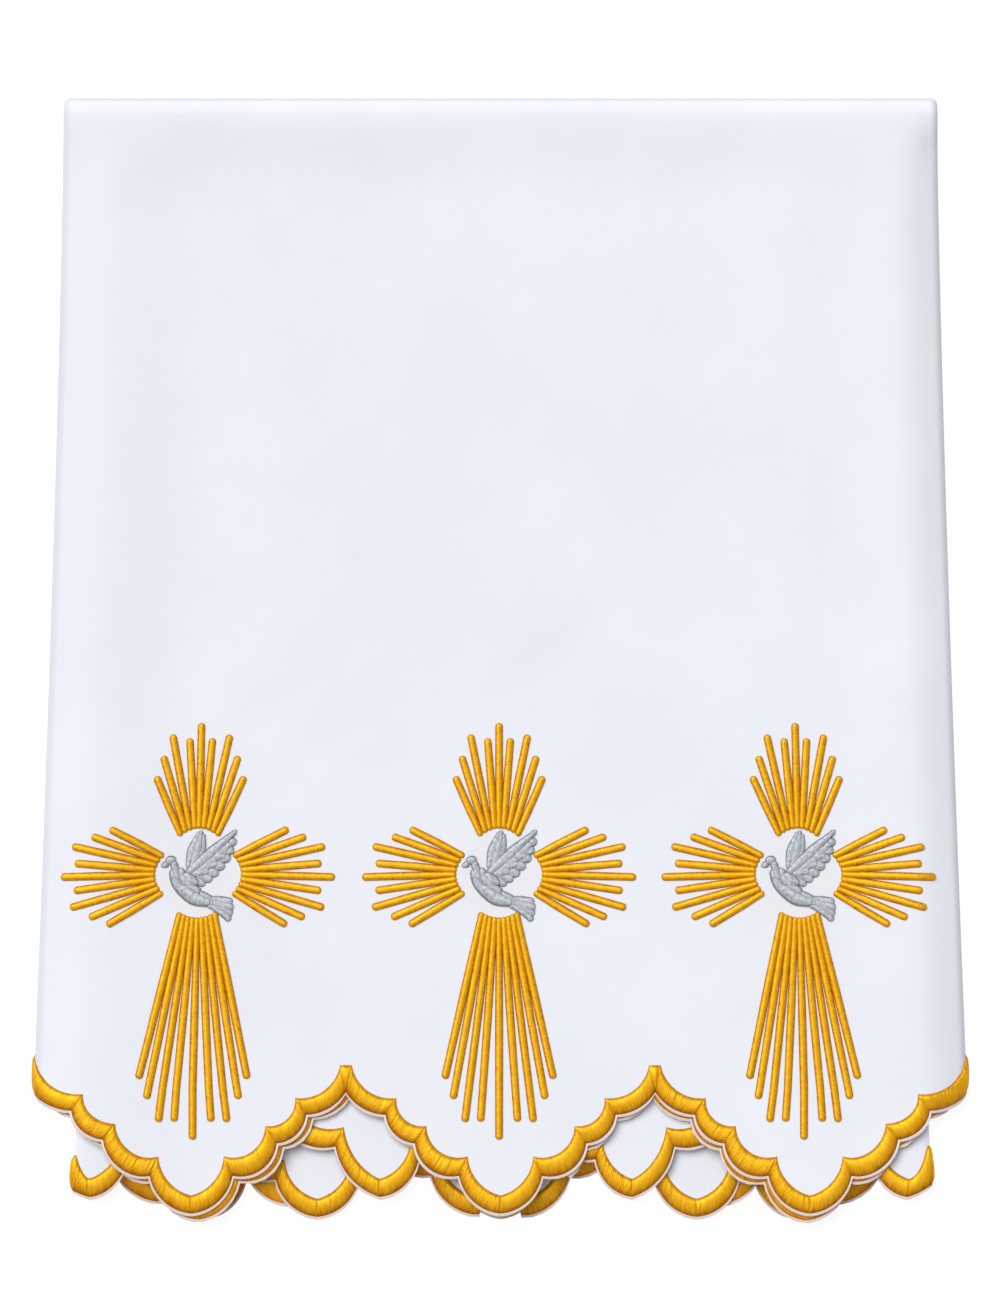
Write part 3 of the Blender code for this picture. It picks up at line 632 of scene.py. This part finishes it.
def whole_lines(leaf, scallops):
    """Matching scalloped lines through every layer of a leaf, from left to right, and the corners."""
    parts = [front_lines(leaf, scallops)]
    if leaf == "front":
        parts.insert(0, ([fold_point("left", rows) for rows in scallops], np.array([False])))
        parts.append(([fold_point("right", rows) for rows in scallops], np.array([False])))
    for panel in ("second", "third", "fourth"):
        left, left_corner = panel_lines("left", panel, leaf, scallops)
        parts.insert(0, ([line[::-1] for line in left], left_corner[::-1]))
        parts.append(panel_lines("right", panel, leaf, scallops))
    lines = [np.concatenate([part[0][k] for part in parts]) for k in range(len(scallops))]
    return lines, np.concatenate([part[1] for part in parts])


def length_along(line):
    """Distance along a line at each of its points."""
    return np.concatenate([[0.0], np.cumsum(np.hypot(*np.diff(line, axis=0).T))])


def points_at(wanted, length, line):
    """Points of a line at the distances wanted, from the distances of its own points."""
    return np.stack([np.interp(wanted, length, line[:, k]) for k in (0, 1)], axis=-1)


def even_points(line, count):
    """A number of points spaced evenly along a line, the nearest ones moved onto its corners."""
    steps = np.diff(line, axis=0)
    length = length_along(line)
    turn = np.abs(np.diff(np.unwrap(np.arctan2(steps[:, 1], steps[:, 0]))))
    corners = length[1:-1][turn > CORNER_TURN]
    wanted = np.linspace(0.0, length[-1], count)
    if len(corners):
        nearest = np.abs(wanted[:, None] - corners).argmin(axis=0)
        wanted[nearest] = corners
    return points_at(wanted, length, line)


def hem_points(leaf):
    """One point for each column of the sheet, on the cut edge of a leaf, from left to right."""
    scallops = (cut_scallop(),)
    points = [even_points(front_lines(leaf, scallops)[0][0], COLUMNS["front"])]
    for panel, fold in FOLD_BEFORE.items():
        for side in ("left", "right"):
            line = even_points(panel_lines(side, panel, leaf, scallops)[0][0], COLUMNS[panel])
            before = points[0][0] if side == "left" else points[-1][-1]
            stops = [before[None], line[:1]]
            if (leaf, panel) == ("front", "second"):
                stops.insert(1, fold_point(side, scallops[0]))
            stops = np.concatenate(stops)
            share = np.linspace(0.0, 1.0, FOLD_COLUMNS[fold] + 2)[1:-1]
            bridge = points_at(share, np.linspace(0.0, 1.0, len(stops)), stops)
            added = np.concatenate([bridge, line])
            points = [added[::-1], *points] if side == "left" else [*points, added]
    return np.concatenate(points)


def body_columns():
    """Where the columns of the sheet run between the hems: evenly over each stretch."""
    end, count = STARTS["front"][1], COLUMNS["front"] // 2
    half = [np.linspace(0.0, end, count + 1)[1:] - 0.5 * end / count]
    half[0][-1] = end
    for panel, fold in FOLD_BEFORE.items():
        half.append(np.linspace(*STARTS[fold], FOLD_COLUMNS[fold] + 2)[1:-1])
        half.append(np.linspace(*STARTS[panel], COLUMNS[panel]))
    half = np.concatenate(half)
    return np.concatenate([-half[::-1], half])


def sheet_rows():
    """Shares at which the sheet's rows run: front hem to top fold, across it, and on to the rear hem."""
    leaves = []
    for table in (FRONT_ROWS, REAR_ROWS):
        shares, start = [0.0], 0.0
        for end, count in table:
            shares.extend(np.linspace(start, end, count + 1)[1:])
            start = end
        leaves.append(np.array(shares))
    return leaves[0][::-1], np.linspace(0.0, 1.0, TOP_ROWS + 1)[1:], leaves[1][1:]


def grid_faces(rows, columns):
    """Quads of a grid of points."""
    index = np.arange(rows * columns).reshape(rows, columns)
    corners = [index[:-1, :-1], index[:-1, 1:], index[1:, 1:], index[1:, :-1]]
    return np.stack(corners, axis=-1).reshape(-1, 4)


def material_slot(piece, material):
    """Gives a piece one material."""
    piece.data.materials.clear()
    piece.data.materials.append(material)


def new_piece(name, points, faces, uv, material, sharp_angle=60.0):
    """A mesh object from points in millimetres, quads and one pair of pattern coordinates a point."""
    points = np.asarray(points).reshape(-1, 3) - (0.0, FRAME_SHIFT, 0.0)
    mesh = bpy.data.meshes.new(name)
    mesh.from_pydata((points * MM).tolist(), [], faces.tolist() if hasattr(faces, "tolist") else faces)
    layer = mesh.uv_layers.new(name="pattern")
    corners = np.empty(len(mesh.loops), np.int32)
    mesh.loops.foreach_get("vertex_index", corners)
    layer.data.foreach_set("uv", (np.asarray(uv).reshape(-1, 2)[corners] * MM).astype(np.float32).ravel())
    mesh.shade_smooth()
    mesh.set_sharp_from_angle(angle=math.radians(sharp_angle))
    piece = bpy.data.objects.new(name, mesh)
    bpy.context.collection.objects.link(piece)
    material_slot(piece, material)
    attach(piece, "root")
    return piece


def closed_skins(rings):
    """Points and faces of tubes, from an array (tubes, rings, points round a ring, 3)."""
    tubes, count, round_it, _ = rings.shape
    index = np.arange(tubes * count * round_it).reshape(tubes, count, round_it)
    nxt = np.roll(index, -1, axis=2)
    sides = np.stack([index[:, :-1], nxt[:, :-1], nxt[:, 1:], index[:, 1:]], axis=-1).reshape(-1, 4)
    faces = sides.tolist()
    faces += index[:, 0, ::-1].tolist() + index[:, -1].tolist()
    return rings.reshape(-1, 3), faces


def crown(across, power=2.6):
    """Height over a stitched shape's width, from 0 at its edges to 1: across runs from -1 to 1."""
    return np.sqrt(np.clip(1 - np.abs(across) ** power, 0.0, 1.0))


# How far the satin edge stands up along the cloth, as a share: on the outside of the folds,
# in the tight inner fold, and under the stack
INNER_DIP = (
    (STARTS["inner fold"][0] - 6, 1.0), (STARTS["inner fold"][0], 0.6),
    (STARTS["inner fold"][1], 0.6), (STARTS["inner fold"][1] + 6, 1.0),
)
EDGE_RISE = {
    "front": ((0.0, 1.0), *INNER_DIP),
    "rear": (
        (0.0, 0.08), (STARTS["side fold"][0] - 2, 0.08), (STARTS["side fold"][1] + 4, 1.0), *INNER_DIP
    ),
}


def band_rings(leaf, facing, height, step, steps, pitch):
    """Rings across a satin band along a leaf's whole hem, and their pattern coordinates.

    The band runs from the inner scalloped line to the outer one. Its height is a crown
    across the band, less a ridge for every stitch and a groove at every mitred corner.
    """
    (outer, inner), corner = whole_lines(leaf, (OUTER_SCALLOP, INNER_SCALLOP))
    middle = (outer + inner) / 2
    length = length_along(middle)
    wanted = np.linspace(0.0, length[-1], int(length[-1] / step))
    corners = length[corner]
    if step < 0.5:
        nearest = np.searchsorted(wanted, corners).clip(0, len(wanted) - 1)
        wanted[nearest] = corners
    outer, inner = (points_at(wanted, length, line) for line in (outer, inner))
    mitre = np.abs(wanted[:, None] - corners).min(axis=1)
    noise = np.random.default_rng(SEED).normal(size=4096)
    stitch = np.floor(wanted / pitch).astype(int) % len(noise)
    share = np.linspace(0.0, 1.0, steps)
    spread = 0.5 + EDGE_SPREAD * (share - 0.5)
    rows = inner[:, None] + (outer - inner)[:, None] * spread[None, :, None]
    ridge = 0.5 + 0.5 * np.cos(2 * math.pi * (wanted[:, None] + STITCH_SLANT * share) / pitch)
    lift = crown(2 * share**EDGE_LEAN - 1, 2.1)[None] * (1 - RIDGE_DEPTH * ridge)
    lift = lift * (1 + STITCH_UNEVEN * noise[stitch])[:, None]
    lift = lift * (1 - MITRE_DEPTH * np.exp(-((mitre / MITRE_WIDTH) ** 2)))[:, None]
    if facing > 0:
        lift = lift * np.interp(np.abs(outer[:, 0]), *np.array(EDGE_RISE[leaf]).T)[:, None]
    face = in_mm(bpy.context.scene.altar_cloth.thickness) / 2
    top = offset_place(rows[..., 0], rows[..., 1], facing * (face + THREAD_OFF + height * lift))
    ends = rows[:, [-1, 0]]
    floor = offset_place(ends[..., 0], ends[..., 1], facing * (face - BAND_SINK))
    uv = np.stack(np.broadcast_arrays(wanted[:, None], HALF_SATIN * (2 * share - 1)), axis=-1)
    return np.concatenate([top, floor], axis=1)[None], np.concatenate([uv, uv[:, [-1, 0]]], axis=1)


def signed_volume(points, faces):
    """Volume inside the faces, below 0 when they point inwards."""
    total = 0.0
    for size in {len(face) for face in faces}:
        group = np.array([face for face in faces if len(face) == size])
        corners = points[group]
        crosses = np.cross(corners[:, 1:-1], corners[:, 2:])
        total += np.einsum("fki,fki->", np.broadcast_to(corners[:, :1], crosses.shape), crosses)
    return total


def skin_piece(name, rings, uv, material):
    """A piece made of closed tubes, with its faces pointing out."""
    points, faces = closed_skins(rings)
    if signed_volume(points - points.mean(axis=0), faces) < 0:
        faces = [face[::-1] for face in faces]
    return new_piece(name, points, faces, uv, material)


def bar_rings(start, middle, end, widths, height, lift, count):
    """Rings of stitched bars that follow curves on the front panel.

    A bar's middle line is a quadratic curve through its start, middle and end. Its width
    runs smoothly through the widths there, and both ends are rounded off.
    """
    share = np.linspace(0.0, 1.0, count)[None, :, None]
    start, middle, end = (np.asarray(value)[:, None] for value in (start, middle, end))
    bend = 2 * middle - (start + end) / 2
    line = start * (1 - share) ** 2 + 2 * bend * share * (1 - share) + end * share**2
    heading = np.gradient(line, axis=1)
    heading /= np.linalg.norm(heading, axis=-1, keepdims=True)
    right = np.stack([heading[..., 1], -heading[..., 0]], axis=-1)
    steps = np.linalg.norm(np.diff(line, axis=1), axis=-1)
    length = np.concatenate([np.zeros((len(steps), 1)), np.cumsum(steps, axis=1)], axis=1)
    t = share[..., 0]
    w0, w1, w2 = (np.asarray(width)[:, None] for width in widths)
    width = np.where(t < 0.5, w0 + (w1 - w0) * smooth_step(2 * t), w1 + (w2 - w1) * smooth_step(2 * t - 1))
    to_end = np.minimum(length, length[:, -1:] - length)
    round_off = np.sqrt(np.clip(1 - (1 - np.clip(2 * to_end / width, 0.0, 1.0)) ** 2, 0.02, 1.0))
    across = np.cos(np.linspace(math.pi, 0.0, BAR_STEPS + 1))
    rows = line[:, :, None] + right[:, :, None] * (across * (width / 2 * round_off)[..., None])[..., None]
    rise = np.asarray(height)[:, None, None] * crown(across, 2.2) * round_off[..., None]
    rise = rise + np.asarray(lift)[:, None, None] * round_off[..., None]
    uv = np.stack(np.broadcast_arrays(length[..., None], HALF_SATIN * across), axis=-1)
    uv[..., 0] += 17.0 * np.arange(len(uv))[:, None, None]
    return rows, rise, uv


def bar_piece(name, bars, middle, turn, material):
    """A piece of stitched bars on the front panel, placed from a cross's middle."""
    rows, rise, uv = bars
    cosine, sine = math.cos(math.radians(turn)), math.sin(math.radians(turn))
    along = middle + cosine * rows[..., 0] - sine * rows[..., 1]
    over = CROSS_LEVEL + sine * rows[..., 0] + cosine * rows[..., 1] - FOLD_AXIS
    face = in_mm(bpy.context.scene.altar_cloth.thickness) / 2
    top = offset_place(along, over, face + rise)
    base_along, base_over = along[:, :, ::-1][:, :, [0, -1]], over[:, :, ::-1][:, :, [0, -1]]
    base = offset_place(base_along, base_over, face - BAR_SINK)
    rings = np.concatenate([top, base], axis=2)
    uv = np.concatenate([uv, uv[:, :, [-1, 0]]], axis=2)
    return skin_piece(name, rings, uv, material)


def set_values(node, values):
    """Sets a node's settings, and the values of its sockets, by name."""
    for key, value in values.items():
        if hasattr(node, key):
            setattr(node, key, value)
        else:
            node.inputs[key.replace("_", " ")].default_value = value


class Finish:
    """A new material, and the steps that build its nodes."""

    def __init__(self, name):
        self.material = bpy.data.materials.new(name)
        self.material.use_nodes = True
        self.nodes = self.material.node_tree.nodes
        self.link = self.material.node_tree.links.new
        self.shader = self.nodes["Principled BSDF"]

    def add(self, kind, **values):
        """A new node, with its settings and the values of its sockets."""
        node = self.nodes.new(kind)
        set_values(node, values)
        return node

    def set_shader(self, **values):
        """Constant values on the shader's own sockets."""
        set_values(self.shader, values)

    def pattern(self):
        """The piece's own pattern coordinates, whole and one by one."""
        whole = self.add("ShaderNodeUVMap", uv_map="pattern").outputs["UV"]
        split = self.add("ShaderNodeSeparateXYZ")
        self.link(whole, split.inputs[0])
        return whole, split.outputs["X"], split.outputs["Y"]

    def maths(self, operation, first, second=0.0):
        """The result of an operation on two values or sockets."""
        node = self.add("ShaderNodeMath", operation=operation)
        for socket, value in zip(node.inputs, (first, second)):
            if isinstance(value, (int, float)):
                socket.default_value = value
            else:
                self.link(value, socket)
        return node.outputs[0]

    def smooth_range(self, value, low, high):
        """0 at low and 1 at high, with level ends."""
        node = self.add("ShaderNodeMapRange", interpolation_type="SMOOTHSTEP", From_Min=low, From_Max=high)
        self.link(value, node.inputs["Value"])
        return node.outputs["Result"]

    def noise(self, place_of, scale, detail, roughness=0.5):
        """Noise of a fineness, detail and roughness."""
        node = self.add("ShaderNodeTexNoise", Scale=scale, Detail=detail, Roughness=roughness)
        self.link(place_of, node.inputs["Vector"])
        return node.outputs["Fac"]

    def blend(self, value, start, start_colour, end, end_colour):
        """A colour that runs from one to another between two values."""
        ramp = self.add("ShaderNodeValToRGB")
        rows = ((start, start_colour), (end, end_colour))
        for stop, (position, colour) in zip(ramp.color_ramp.elements, rows):
            stop.position = position
            stop.color = (*colour, 1.0)
        self.link(value, ramp.inputs["Fac"])
        return ramp.outputs["Color"]

    def mix(self, share, first, second):
        """A colour that gives way to a fixed one by a share."""
        node = self.add("ShaderNodeMix", data_type="RGBA")
        self.link(share, node.inputs["Factor"])
        self.link(first, node.inputs["A"])
        node.inputs["B"].default_value = (*second, 1.0)
        return node.outputs["Result"]

    def bump(self, height, strength, distance):
        """Raises the shader's surface by a height."""
        node = self.add("ShaderNodeBump", Strength=strength, Distance=distance)
        self.link(height, node.inputs["Height"])
        self.link(node.outputs["Normal"], self.shader.inputs["Normal"])


def cloth_material():
    """Close white cloth: a fine plain weave, soft fuzz and very faint mottling.

    It is whiter inside the crosses, greyer in the folds by painted shade, and duller along the
    cut edge, partly by the edge's own tan and partly by painted shade.
    """
    cloth = bpy.context.scene.altar_cloth
    finish = Finish("white cloth")
    pattern, across, over = finish.pattern()
    turn = 2 * math.pi / cloth.weave_pitch
    warp, weft = (finish.maths("SINE", finish.maths("MULTIPLY", way, turn)) for way in (across, over))
    weave = finish.maths("MULTIPLY", finish.maths("MULTIPLY", warp, weft), 0.5)
    fuzz = finish.noise(pattern, 2600.0, 3.0, 0.6)
    finish.bump(finish.maths("ADD", weave, fuzz), 0.35, 0.00006)
    mottle = finish.noise(pattern, 9.0, 4.0, 0.55)
    darker = [value * 0.975 for value in cloth.colour]
    lighter = [min(value * 1.015, 1.0) for value in cloth.colour]
    colour = finish.blend(mottle, 0.35, darker, 0.65, lighter)
    nearest = 1.0
    for middle in CROSS_MIDDLES.values():
        distance = finish.add("ShaderNodeVectorMath", operation="DISTANCE")
        finish.link(pattern, distance.inputs[0])
        disc_middle = (middle + DISC_SHIFT[0], CROSS_LEVEL + DISC_SHIFT[1] - FOLD_AXIS, 0.0)
        distance.inputs[1].default_value = [MM * value for value in disc_middle]
        nearest = finish.maths("MINIMUM", distance.outputs["Value"], nearest)
    on_disc = finish.smooth_range(nearest, *(MM * radius for radius in DISC_RADII))
    colour = finish.mix(on_disc, colour, cloth.disc_colour)
    # The rim outside the thread: partly the frayed cut edge's own tan, partly painted shade
    cut = finish.add("ShaderNodeAttribute", attribute_name="cut edge").outputs["Fac"]
    colour = finish.mix(finish.smooth_range(cut, 0.75, 0.95), colour, cloth.rim_tint_and_shade)
    # Painted shade: the colour is greyed near the side folds and the top fold, where the rounded cloth
    # turns from the light
    shadowed = 0.0
    for fold, way, fold_middle in (
        ("side", finish.maths("ABSOLUTE", across), sum(STARTS["side fold"]) / 2),
        ("top", over, FOLD_OVER / 2),
    ):
        reach = SHADED_FOLD_REACH[fold] * MM
        off_fold = finish.maths("ABSOLUTE", finish.maths("SUBTRACT", way, fold_middle * MM))
        near = finish.smooth_range(off_fold, reach, SHADED_FOLD_CORE * reach)
        shadowed = finish.maths("MAXIMUM", near, shadowed)
    shade = finish.maths("MULTIPLY", shadowed, cloth.fold_shade)
    shaded = finish.add("ShaderNodeVectorMath", operation="SCALE")
    finish.link(colour, shaded.inputs[0])
    finish.link(finish.maths("SUBTRACT", 1.0, shade), shaded.inputs["Scale"])
    finish.link(shaded.outputs[0], finish.shader.inputs["Base Color"])
    finish.set_shader(Roughness=0.8, Specular_IOR_Level=0.2)
    return finish.material


def thread_material(name, bright, deep, pitch, roughness, metallic, tint, mottle, outer_shade=0.0):
    """Satin stitch: fine threads side by side, each lighter or darker than the next, with painted shade at
    the sides.

    The mottle is the fineness and the share of its blotches, then the tones that give the deep
    colour and the bright one. The last argument is painted shade: how much darker the thread
    gets towards its outer side.
    """
    blotch_scale, blotch_share, deep_tone, bright_tone = mottle
    finish = Finish(name)
    pattern, along, across = finish.pattern()
    run = finish.maths("ADD", along, finish.maths("MULTIPLY", across, 0.35))
    thread = finish.maths("SINE", finish.maths("MULTIPLY", run, 2 * math.pi / pitch))
    joined = finish.add("ShaderNodeCombineXYZ")
    finish.link(run, joined.inputs["X"])
    finish.link(finish.maths("MULTIPLY", across, 0.12), joined.inputs["Y"])
    streak = finish.noise(joined.outputs[0], 1400.0, 2.0, 0.6)
    patch = finish.noise(pattern, blotch_scale, 2.0)
    # Painted shade: the tone falls towards both sides of each stitched shape, where its crown turns from
    # the light
    side = finish.maths("ABSOLUTE", finish.maths("DIVIDE", across, HALF_SATIN * MM))
    sides = finish.maths("MULTIPLY", finish.maths("POWER", side, 4.0), 0.40)
    tone = finish.maths("ADD", finish.maths("MULTIPLY", thread, 0.10), streak)
    tone = finish.maths("ADD", tone, finish.maths("MULTIPLY", patch, blotch_share))
    tone = finish.maths("SUBTRACT", finish.maths("DIVIDE", tone, 1 + blotch_share), sides)
    # Painted shade: the tone falls towards the shape's outer side, the lower side of a hem band
    outwards = finish.maths("MULTIPLY", across, outer_shade / (HALF_SATIN * MM))
    tone = finish.maths("SUBTRACT", tone, outwards)
    colour = finish.blend(tone, deep_tone, deep, bright_tone, bright)
    finish.link(colour, finish.shader.inputs["Base Color"])
    finish.bump(finish.maths("ADD", finish.maths("MULTIPLY", thread, 0.5), streak), 0.3, 0.0001)
    finish.set_shader(
        Roughness=roughness, Metallic=metallic, Specular_IOR_Level=0.4, Specular_Tint=(*tint, 1.0)
    )
    return finish.material


def gold_material(use, outer_shade=0.0):
    """The gold thread of the edge or the rays, made once for each."""
    thread = bpy.context.scene.altar_thread
    name = f"gold thread, {use}"
    return bpy.data.materials.get(name) or thread_material(
        name, thread.gold, thread.deep_gold, GOLD_PITCH, 0.40, 0.40, GOLD_TINT, GOLD_MOTTLE, outer_shade
    )


def silver_material():
    """The dove's silver-grey thread, made once."""
    thread = bpy.context.scene.altar_thread
    name = "silver grey thread"
    return bpy.data.materials.get(name) or thread_material(
        name, thread.silver, thread.deep_silver, SILVER_PITCH, 0.42, 0.15, (1.0, 1.0, 1.0), SILVER_MOTTLE
    )


class ALTARCLOTH_OT_sheet(bpy.types.Operator):
    """Makes the folded sheet: a grid whose columns run from one cut hem over the folds to the other."""

    bl_idname = "altarcloth.sheet"
    bl_label = "Cloth"

    def execute(self, context):
        face = in_mm(context.scene.altar_cloth.thickness) / 2
        front_hem, rear_hem = hem_points("front"), hem_points("rear")
        body = body_columns()
        front, top, rear = sheet_rows()
        to_front, to_rear = (
            smooth_step((leaf - HEM_START) / HEM_REACH)[:, None] for leaf in (front, rear)
        )
        along = np.concatenate([
            body + (front_hem[:, 0] - body) * to_front,
            np.repeat(body[None], len(top), axis=0),
            body + (rear_hem[:, 0] - body) * to_rear,
        ])
        over = np.concatenate([
            front_hem[:, 1] * front[:, None],
            np.repeat(FOLD_OVER * top[:, None], len(body), axis=1),
            FOLD_OVER + (rear_hem[:, 1] - FOLD_OVER) * rear[:, None],
        ])
        rows, columns = along.shape
        points = np.concatenate([offset_place(along, over, offset) for offset in (face, -face)])
        upper = grid_faces(rows, columns)
        shift = rows * columns
        lower = upper[:, ::-1] + shift
        index = np.arange(shift).reshape(rows, columns)
        rim = np.concatenate([index[0, ::-1], index[1:, 0], index[-1, 1:], index[-2:0:-1, -1]])
        after = np.roll(rim, -1)
        walls = np.stack([rim, after, after + shift, rim + shift], axis=-1)
        faces = np.concatenate([upper, lower, walls])
        flat = np.stack([along, over], axis=-1)
        piece = new_piece("cloth_sheet", points, faces, np.concatenate([flat, flat]), cloth_material())
        cut_edge = np.zeros((2, rows, columns), np.float32)
        cut_edge[:, [0, -1]] = 1.0
        layer = piece.data.attributes.new("cut edge", "FLOAT", "POINT")
        layer.data.foreach_set("value", cut_edge.ravel())
        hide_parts("cloth")
        return {"FINISHED"}


class ALTARCLOTH_OT_edges(bpy.types.Operator):
    """Makes the satin edge of every layer that shows, on its embroidered or its wrong side."""

    bl_idname = "altarcloth.edges"
    bl_label = "Satin edges"

    def execute(self, context):
        thread = context.scene.altar_thread
        height, pitch = in_mm(thread.edge_height), in_mm(thread.stitch_pitch)
        # The edge's gold carries painted shade towards its outer, lower side; the rays' gold does not
        gold = gold_material("edge", outer_shade=0.13)
        # Painted shade: the wrong side's gold is 0.8 as bright, for the layers that lie in shadow under
        # the front one
        wrong = thread_material(
            "gold thread, wrong side", [0.8 * value for value in thread.gold], thread.deep_gold,
            GOLD_PITCH, 0.6, 0.2, GOLD_TINT, GOLD_MOTTLE,
        )
        inner = [f"edge_{name}_{side}" for name in ("inner", "rear") for side in ("left", "right")]
        for name, leaf, facing, tall, step, steps, material, nodes in (
            ("front", "front", 1, height, 0.4, 9, gold, ["edge_front", *inner[:2]]),
            ("rear", "rear", 1, height, 0.7, 8, gold, inner[2:]),
            ("front_wrong_side", "front", -1, 0.4, 1.0, 6, wrong, []),
            ("rear_wrong_side", "rear", -1, 0.4, 1.0, 6, wrong, []),
        ):
            rings, uv = band_rings(leaf, facing, tall, step, steps, pitch)
            piece = skin_piece(f"satin_edge_{name}", rings, uv, material)
            if nodes:
                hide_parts(*nodes)
        return {"FINISHED"}


class ALTARCLOTH_OT_rays(bpy.types.Operator):
    """Makes the crosses: rays of satin stitch, side by side at the root and parted further out."""

    bl_idname = "altarcloth.rays"
    bl_label = "Rays"

    def execute(self, context):
        thread = context.scene.altar_thread
        width = in_mm(thread.ray_width)
        for arm, turn, half_root, root_middle, root_side, shift in ARMS:
            tips = np.array(RAY_TIPS[arm])
            rays = np.concatenate([tips[:0:-1] * (-1, 1), tips])
            number = np.arange(len(rays)) - (len(tips) - 1)
            share = number / (len(tips) - 1)
            root_along = root_middle + (root_side - root_middle) * share**2
            root = np.stack([half_root * share + shift, root_along], axis=-1)
            length = np.linalg.norm(rays - root, axis=-1).max()
            same = np.ones(len(rays))
            widths = (0.84 * width * same, 1.05 * width * same, width * same)
            height = in_mm(thread.ray_height) * (1 + 0.12 * np.cos(math.pi * number))
            steps = int(length / RAY_STEP)
            bars = bar_rings(root, (root + rays) / 2, rays, widths, height, RAY_LIFT * same, steps)
            for cross, middle in CROSS_MIDDLES.items():
                piece = bar_piece(f"satin_rays_{cross}_{arm}", bars, middle, turn, gold_material("rays"))
                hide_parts(f"rays_{cross}_{arm}")
        return {"FINISHED"}


class ALTARCLOTH_OT_doves(bpy.types.Operator):
    """Makes the doves: pads of satin stitch laid over one another."""

    bl_idname = "altarcloth.doves"
    bl_label = "Doves"

    def execute(self, context):
        columns = zip(*(row[1:] for row in DOVE_PADS))
        start, middle, end, widths, lift, height = (np.array(column) for column in columns)
        bars = bar_rings(start, middle, end, widths.T, height, lift, PAD_STEPS)
        for cross, middle in CROSS_MIDDLES.items():
            piece = bar_piece(f"satin_dove_{cross}", bars, middle, 0.0, silver_material())
            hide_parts(f"dove_{cross}")
        return {"FINISHED"}


class ALTARCLOTH_OT_stage(bpy.types.Operator):
    """Makes the pale floor, the soft light and the camera that looks straight down."""

    bl_idname = "altarcloth.stage"
    bl_label = "Stage"

    def execute(self, context):
        stage = context.scene.altar_stage
        corners = FLOOR_HALF * np.array([(-1, -1, 0), (1, -1, 0), (1, 1, 0), (-1, 1, 0)])
        mesh = bpy.data.meshes.new("floor")
        mesh.from_pydata((corners - (0.0, 0.0, FLOOR_DROP)).tolist(), [], [(0, 1, 2, 3)])
        floor = bpy.data.objects.new("floor", mesh)
        context.collection.objects.link(floor)
        finish = Finish("pale floor")
        grain = finish.add("ShaderNodeTexNoise", Scale=40.0, Detail=3.0).outputs["Fac"]
        colour = finish.blend(grain, 0.0, (0.25, 0.25, 0.25), 1.0, (0.26, 0.26, 0.26))
        finish.link(colour, finish.shader.inputs["Base Color"])
        finish.set_shader(Roughness=0.9, Emission_Color=(1.0, 1.0, 1.0, 1.0), Emission_Strength=stage.glow)
        material_slot(floor, finish.material)

        world = bpy.data.worlds.new("soft sky")
        world.use_nodes = True
        background = world.node_tree.nodes["Background"]
        background.inputs["Color"].default_value = (1.0, 1.0, 1.0, 1.0)
        background.inputs["Strength"].default_value = stage.sky_strength
        context.scene.world = world
        light = bpy.data.lights.new("key light", "SUN")
        light.energy = stage.key_strength
        light.angle = math.radians(LAMP_ANGLE)
        lamp = bpy.data.objects.new("key light", light)
        lamp.location = LAMP_PLACE
        lamp.rotation_euler = (-lamp.location).to_track_quat("-Z", "Y").to_euler()
        context.collection.objects.link(lamp)

        camera = bpy.data.cameras.new("camera")
        top_plane = (2 * LEVEL["front"] + SOLID_FACE) * MM
        camera.sensor_width = 36.0
        camera.lens = camera.sensor_width * (stage.camera_height - top_plane) / stage.frame_height
        camera.clip_end = 20.0
        viewer = bpy.data.objects.new("camera", camera)
        viewer.location = (VIEW_MIDDLE[0], VIEW_MIDDLE[1] - FRAME_SHIFT * MM, stage.camera_height)
        context.collection.objects.link(viewer)
        context.scene.camera = viewer
        context.scene.view_settings.view_transform = "Standard"
        return {"FINISHED"}


class ALTARCLOTH_PT_panel(bpy.types.Panel):
    """Lists the settings and the steps."""

    bl_idname = "ALTARCLOTH_PT_panel"
    bl_label = "Altar cloth"
    bl_space_type = "VIEW_3D"
    bl_region_type = "UI"
    bl_category = "Altar cloth"

    def draw(self, context):
        for settings in (context.scene.altar_cloth, context.scene.altar_thread, context.scene.altar_stage):
            box = self.layout.box()
            for name in settings.bl_rna.properties.keys():
                if name not in ("rna_type", "name"):
                    box.prop(settings, name)
        for operator in OPERATORS:
            self.layout.operator(operator.bl_idname)


SETTINGS = (
    ("altar_cloth", ClothSettings),
    ("altar_thread", ThreadSettings),
    ("altar_stage", StageSettings),
)
OPERATORS = (
    ALTARCLOTH_OT_stage,
    ALTARCLOTH_OT_sheet,
    ALTARCLOTH_OT_edges,
    ALTARCLOTH_OT_rays,
    ALTARCLOTH_OT_doves,
)


def register():
    for name, settings in SETTINGS:
        bpy.utils.register_class(settings)
        setattr(bpy.types.Scene, name, bpy.props.PointerProperty(type=settings))
    for kind in (*OPERATORS, ALTARCLOTH_PT_panel):
        bpy.utils.register_class(kind)


def unregister():
    for kind in (ALTARCLOTH_PT_panel, *reversed(OPERATORS)):
        bpy.utils.unregister_class(kind)
    for name, settings in reversed(SETTINGS):
        delattr(bpy.types.Scene, name)
        bpy.utils.unregister_class(settings)


def main():
    register()
    for operator in OPERATORS:
        group, name = operator.bl_idname.split(".")
        getattr(getattr(bpy.ops, group), name)()


if __name__ == "__main__":
    main()
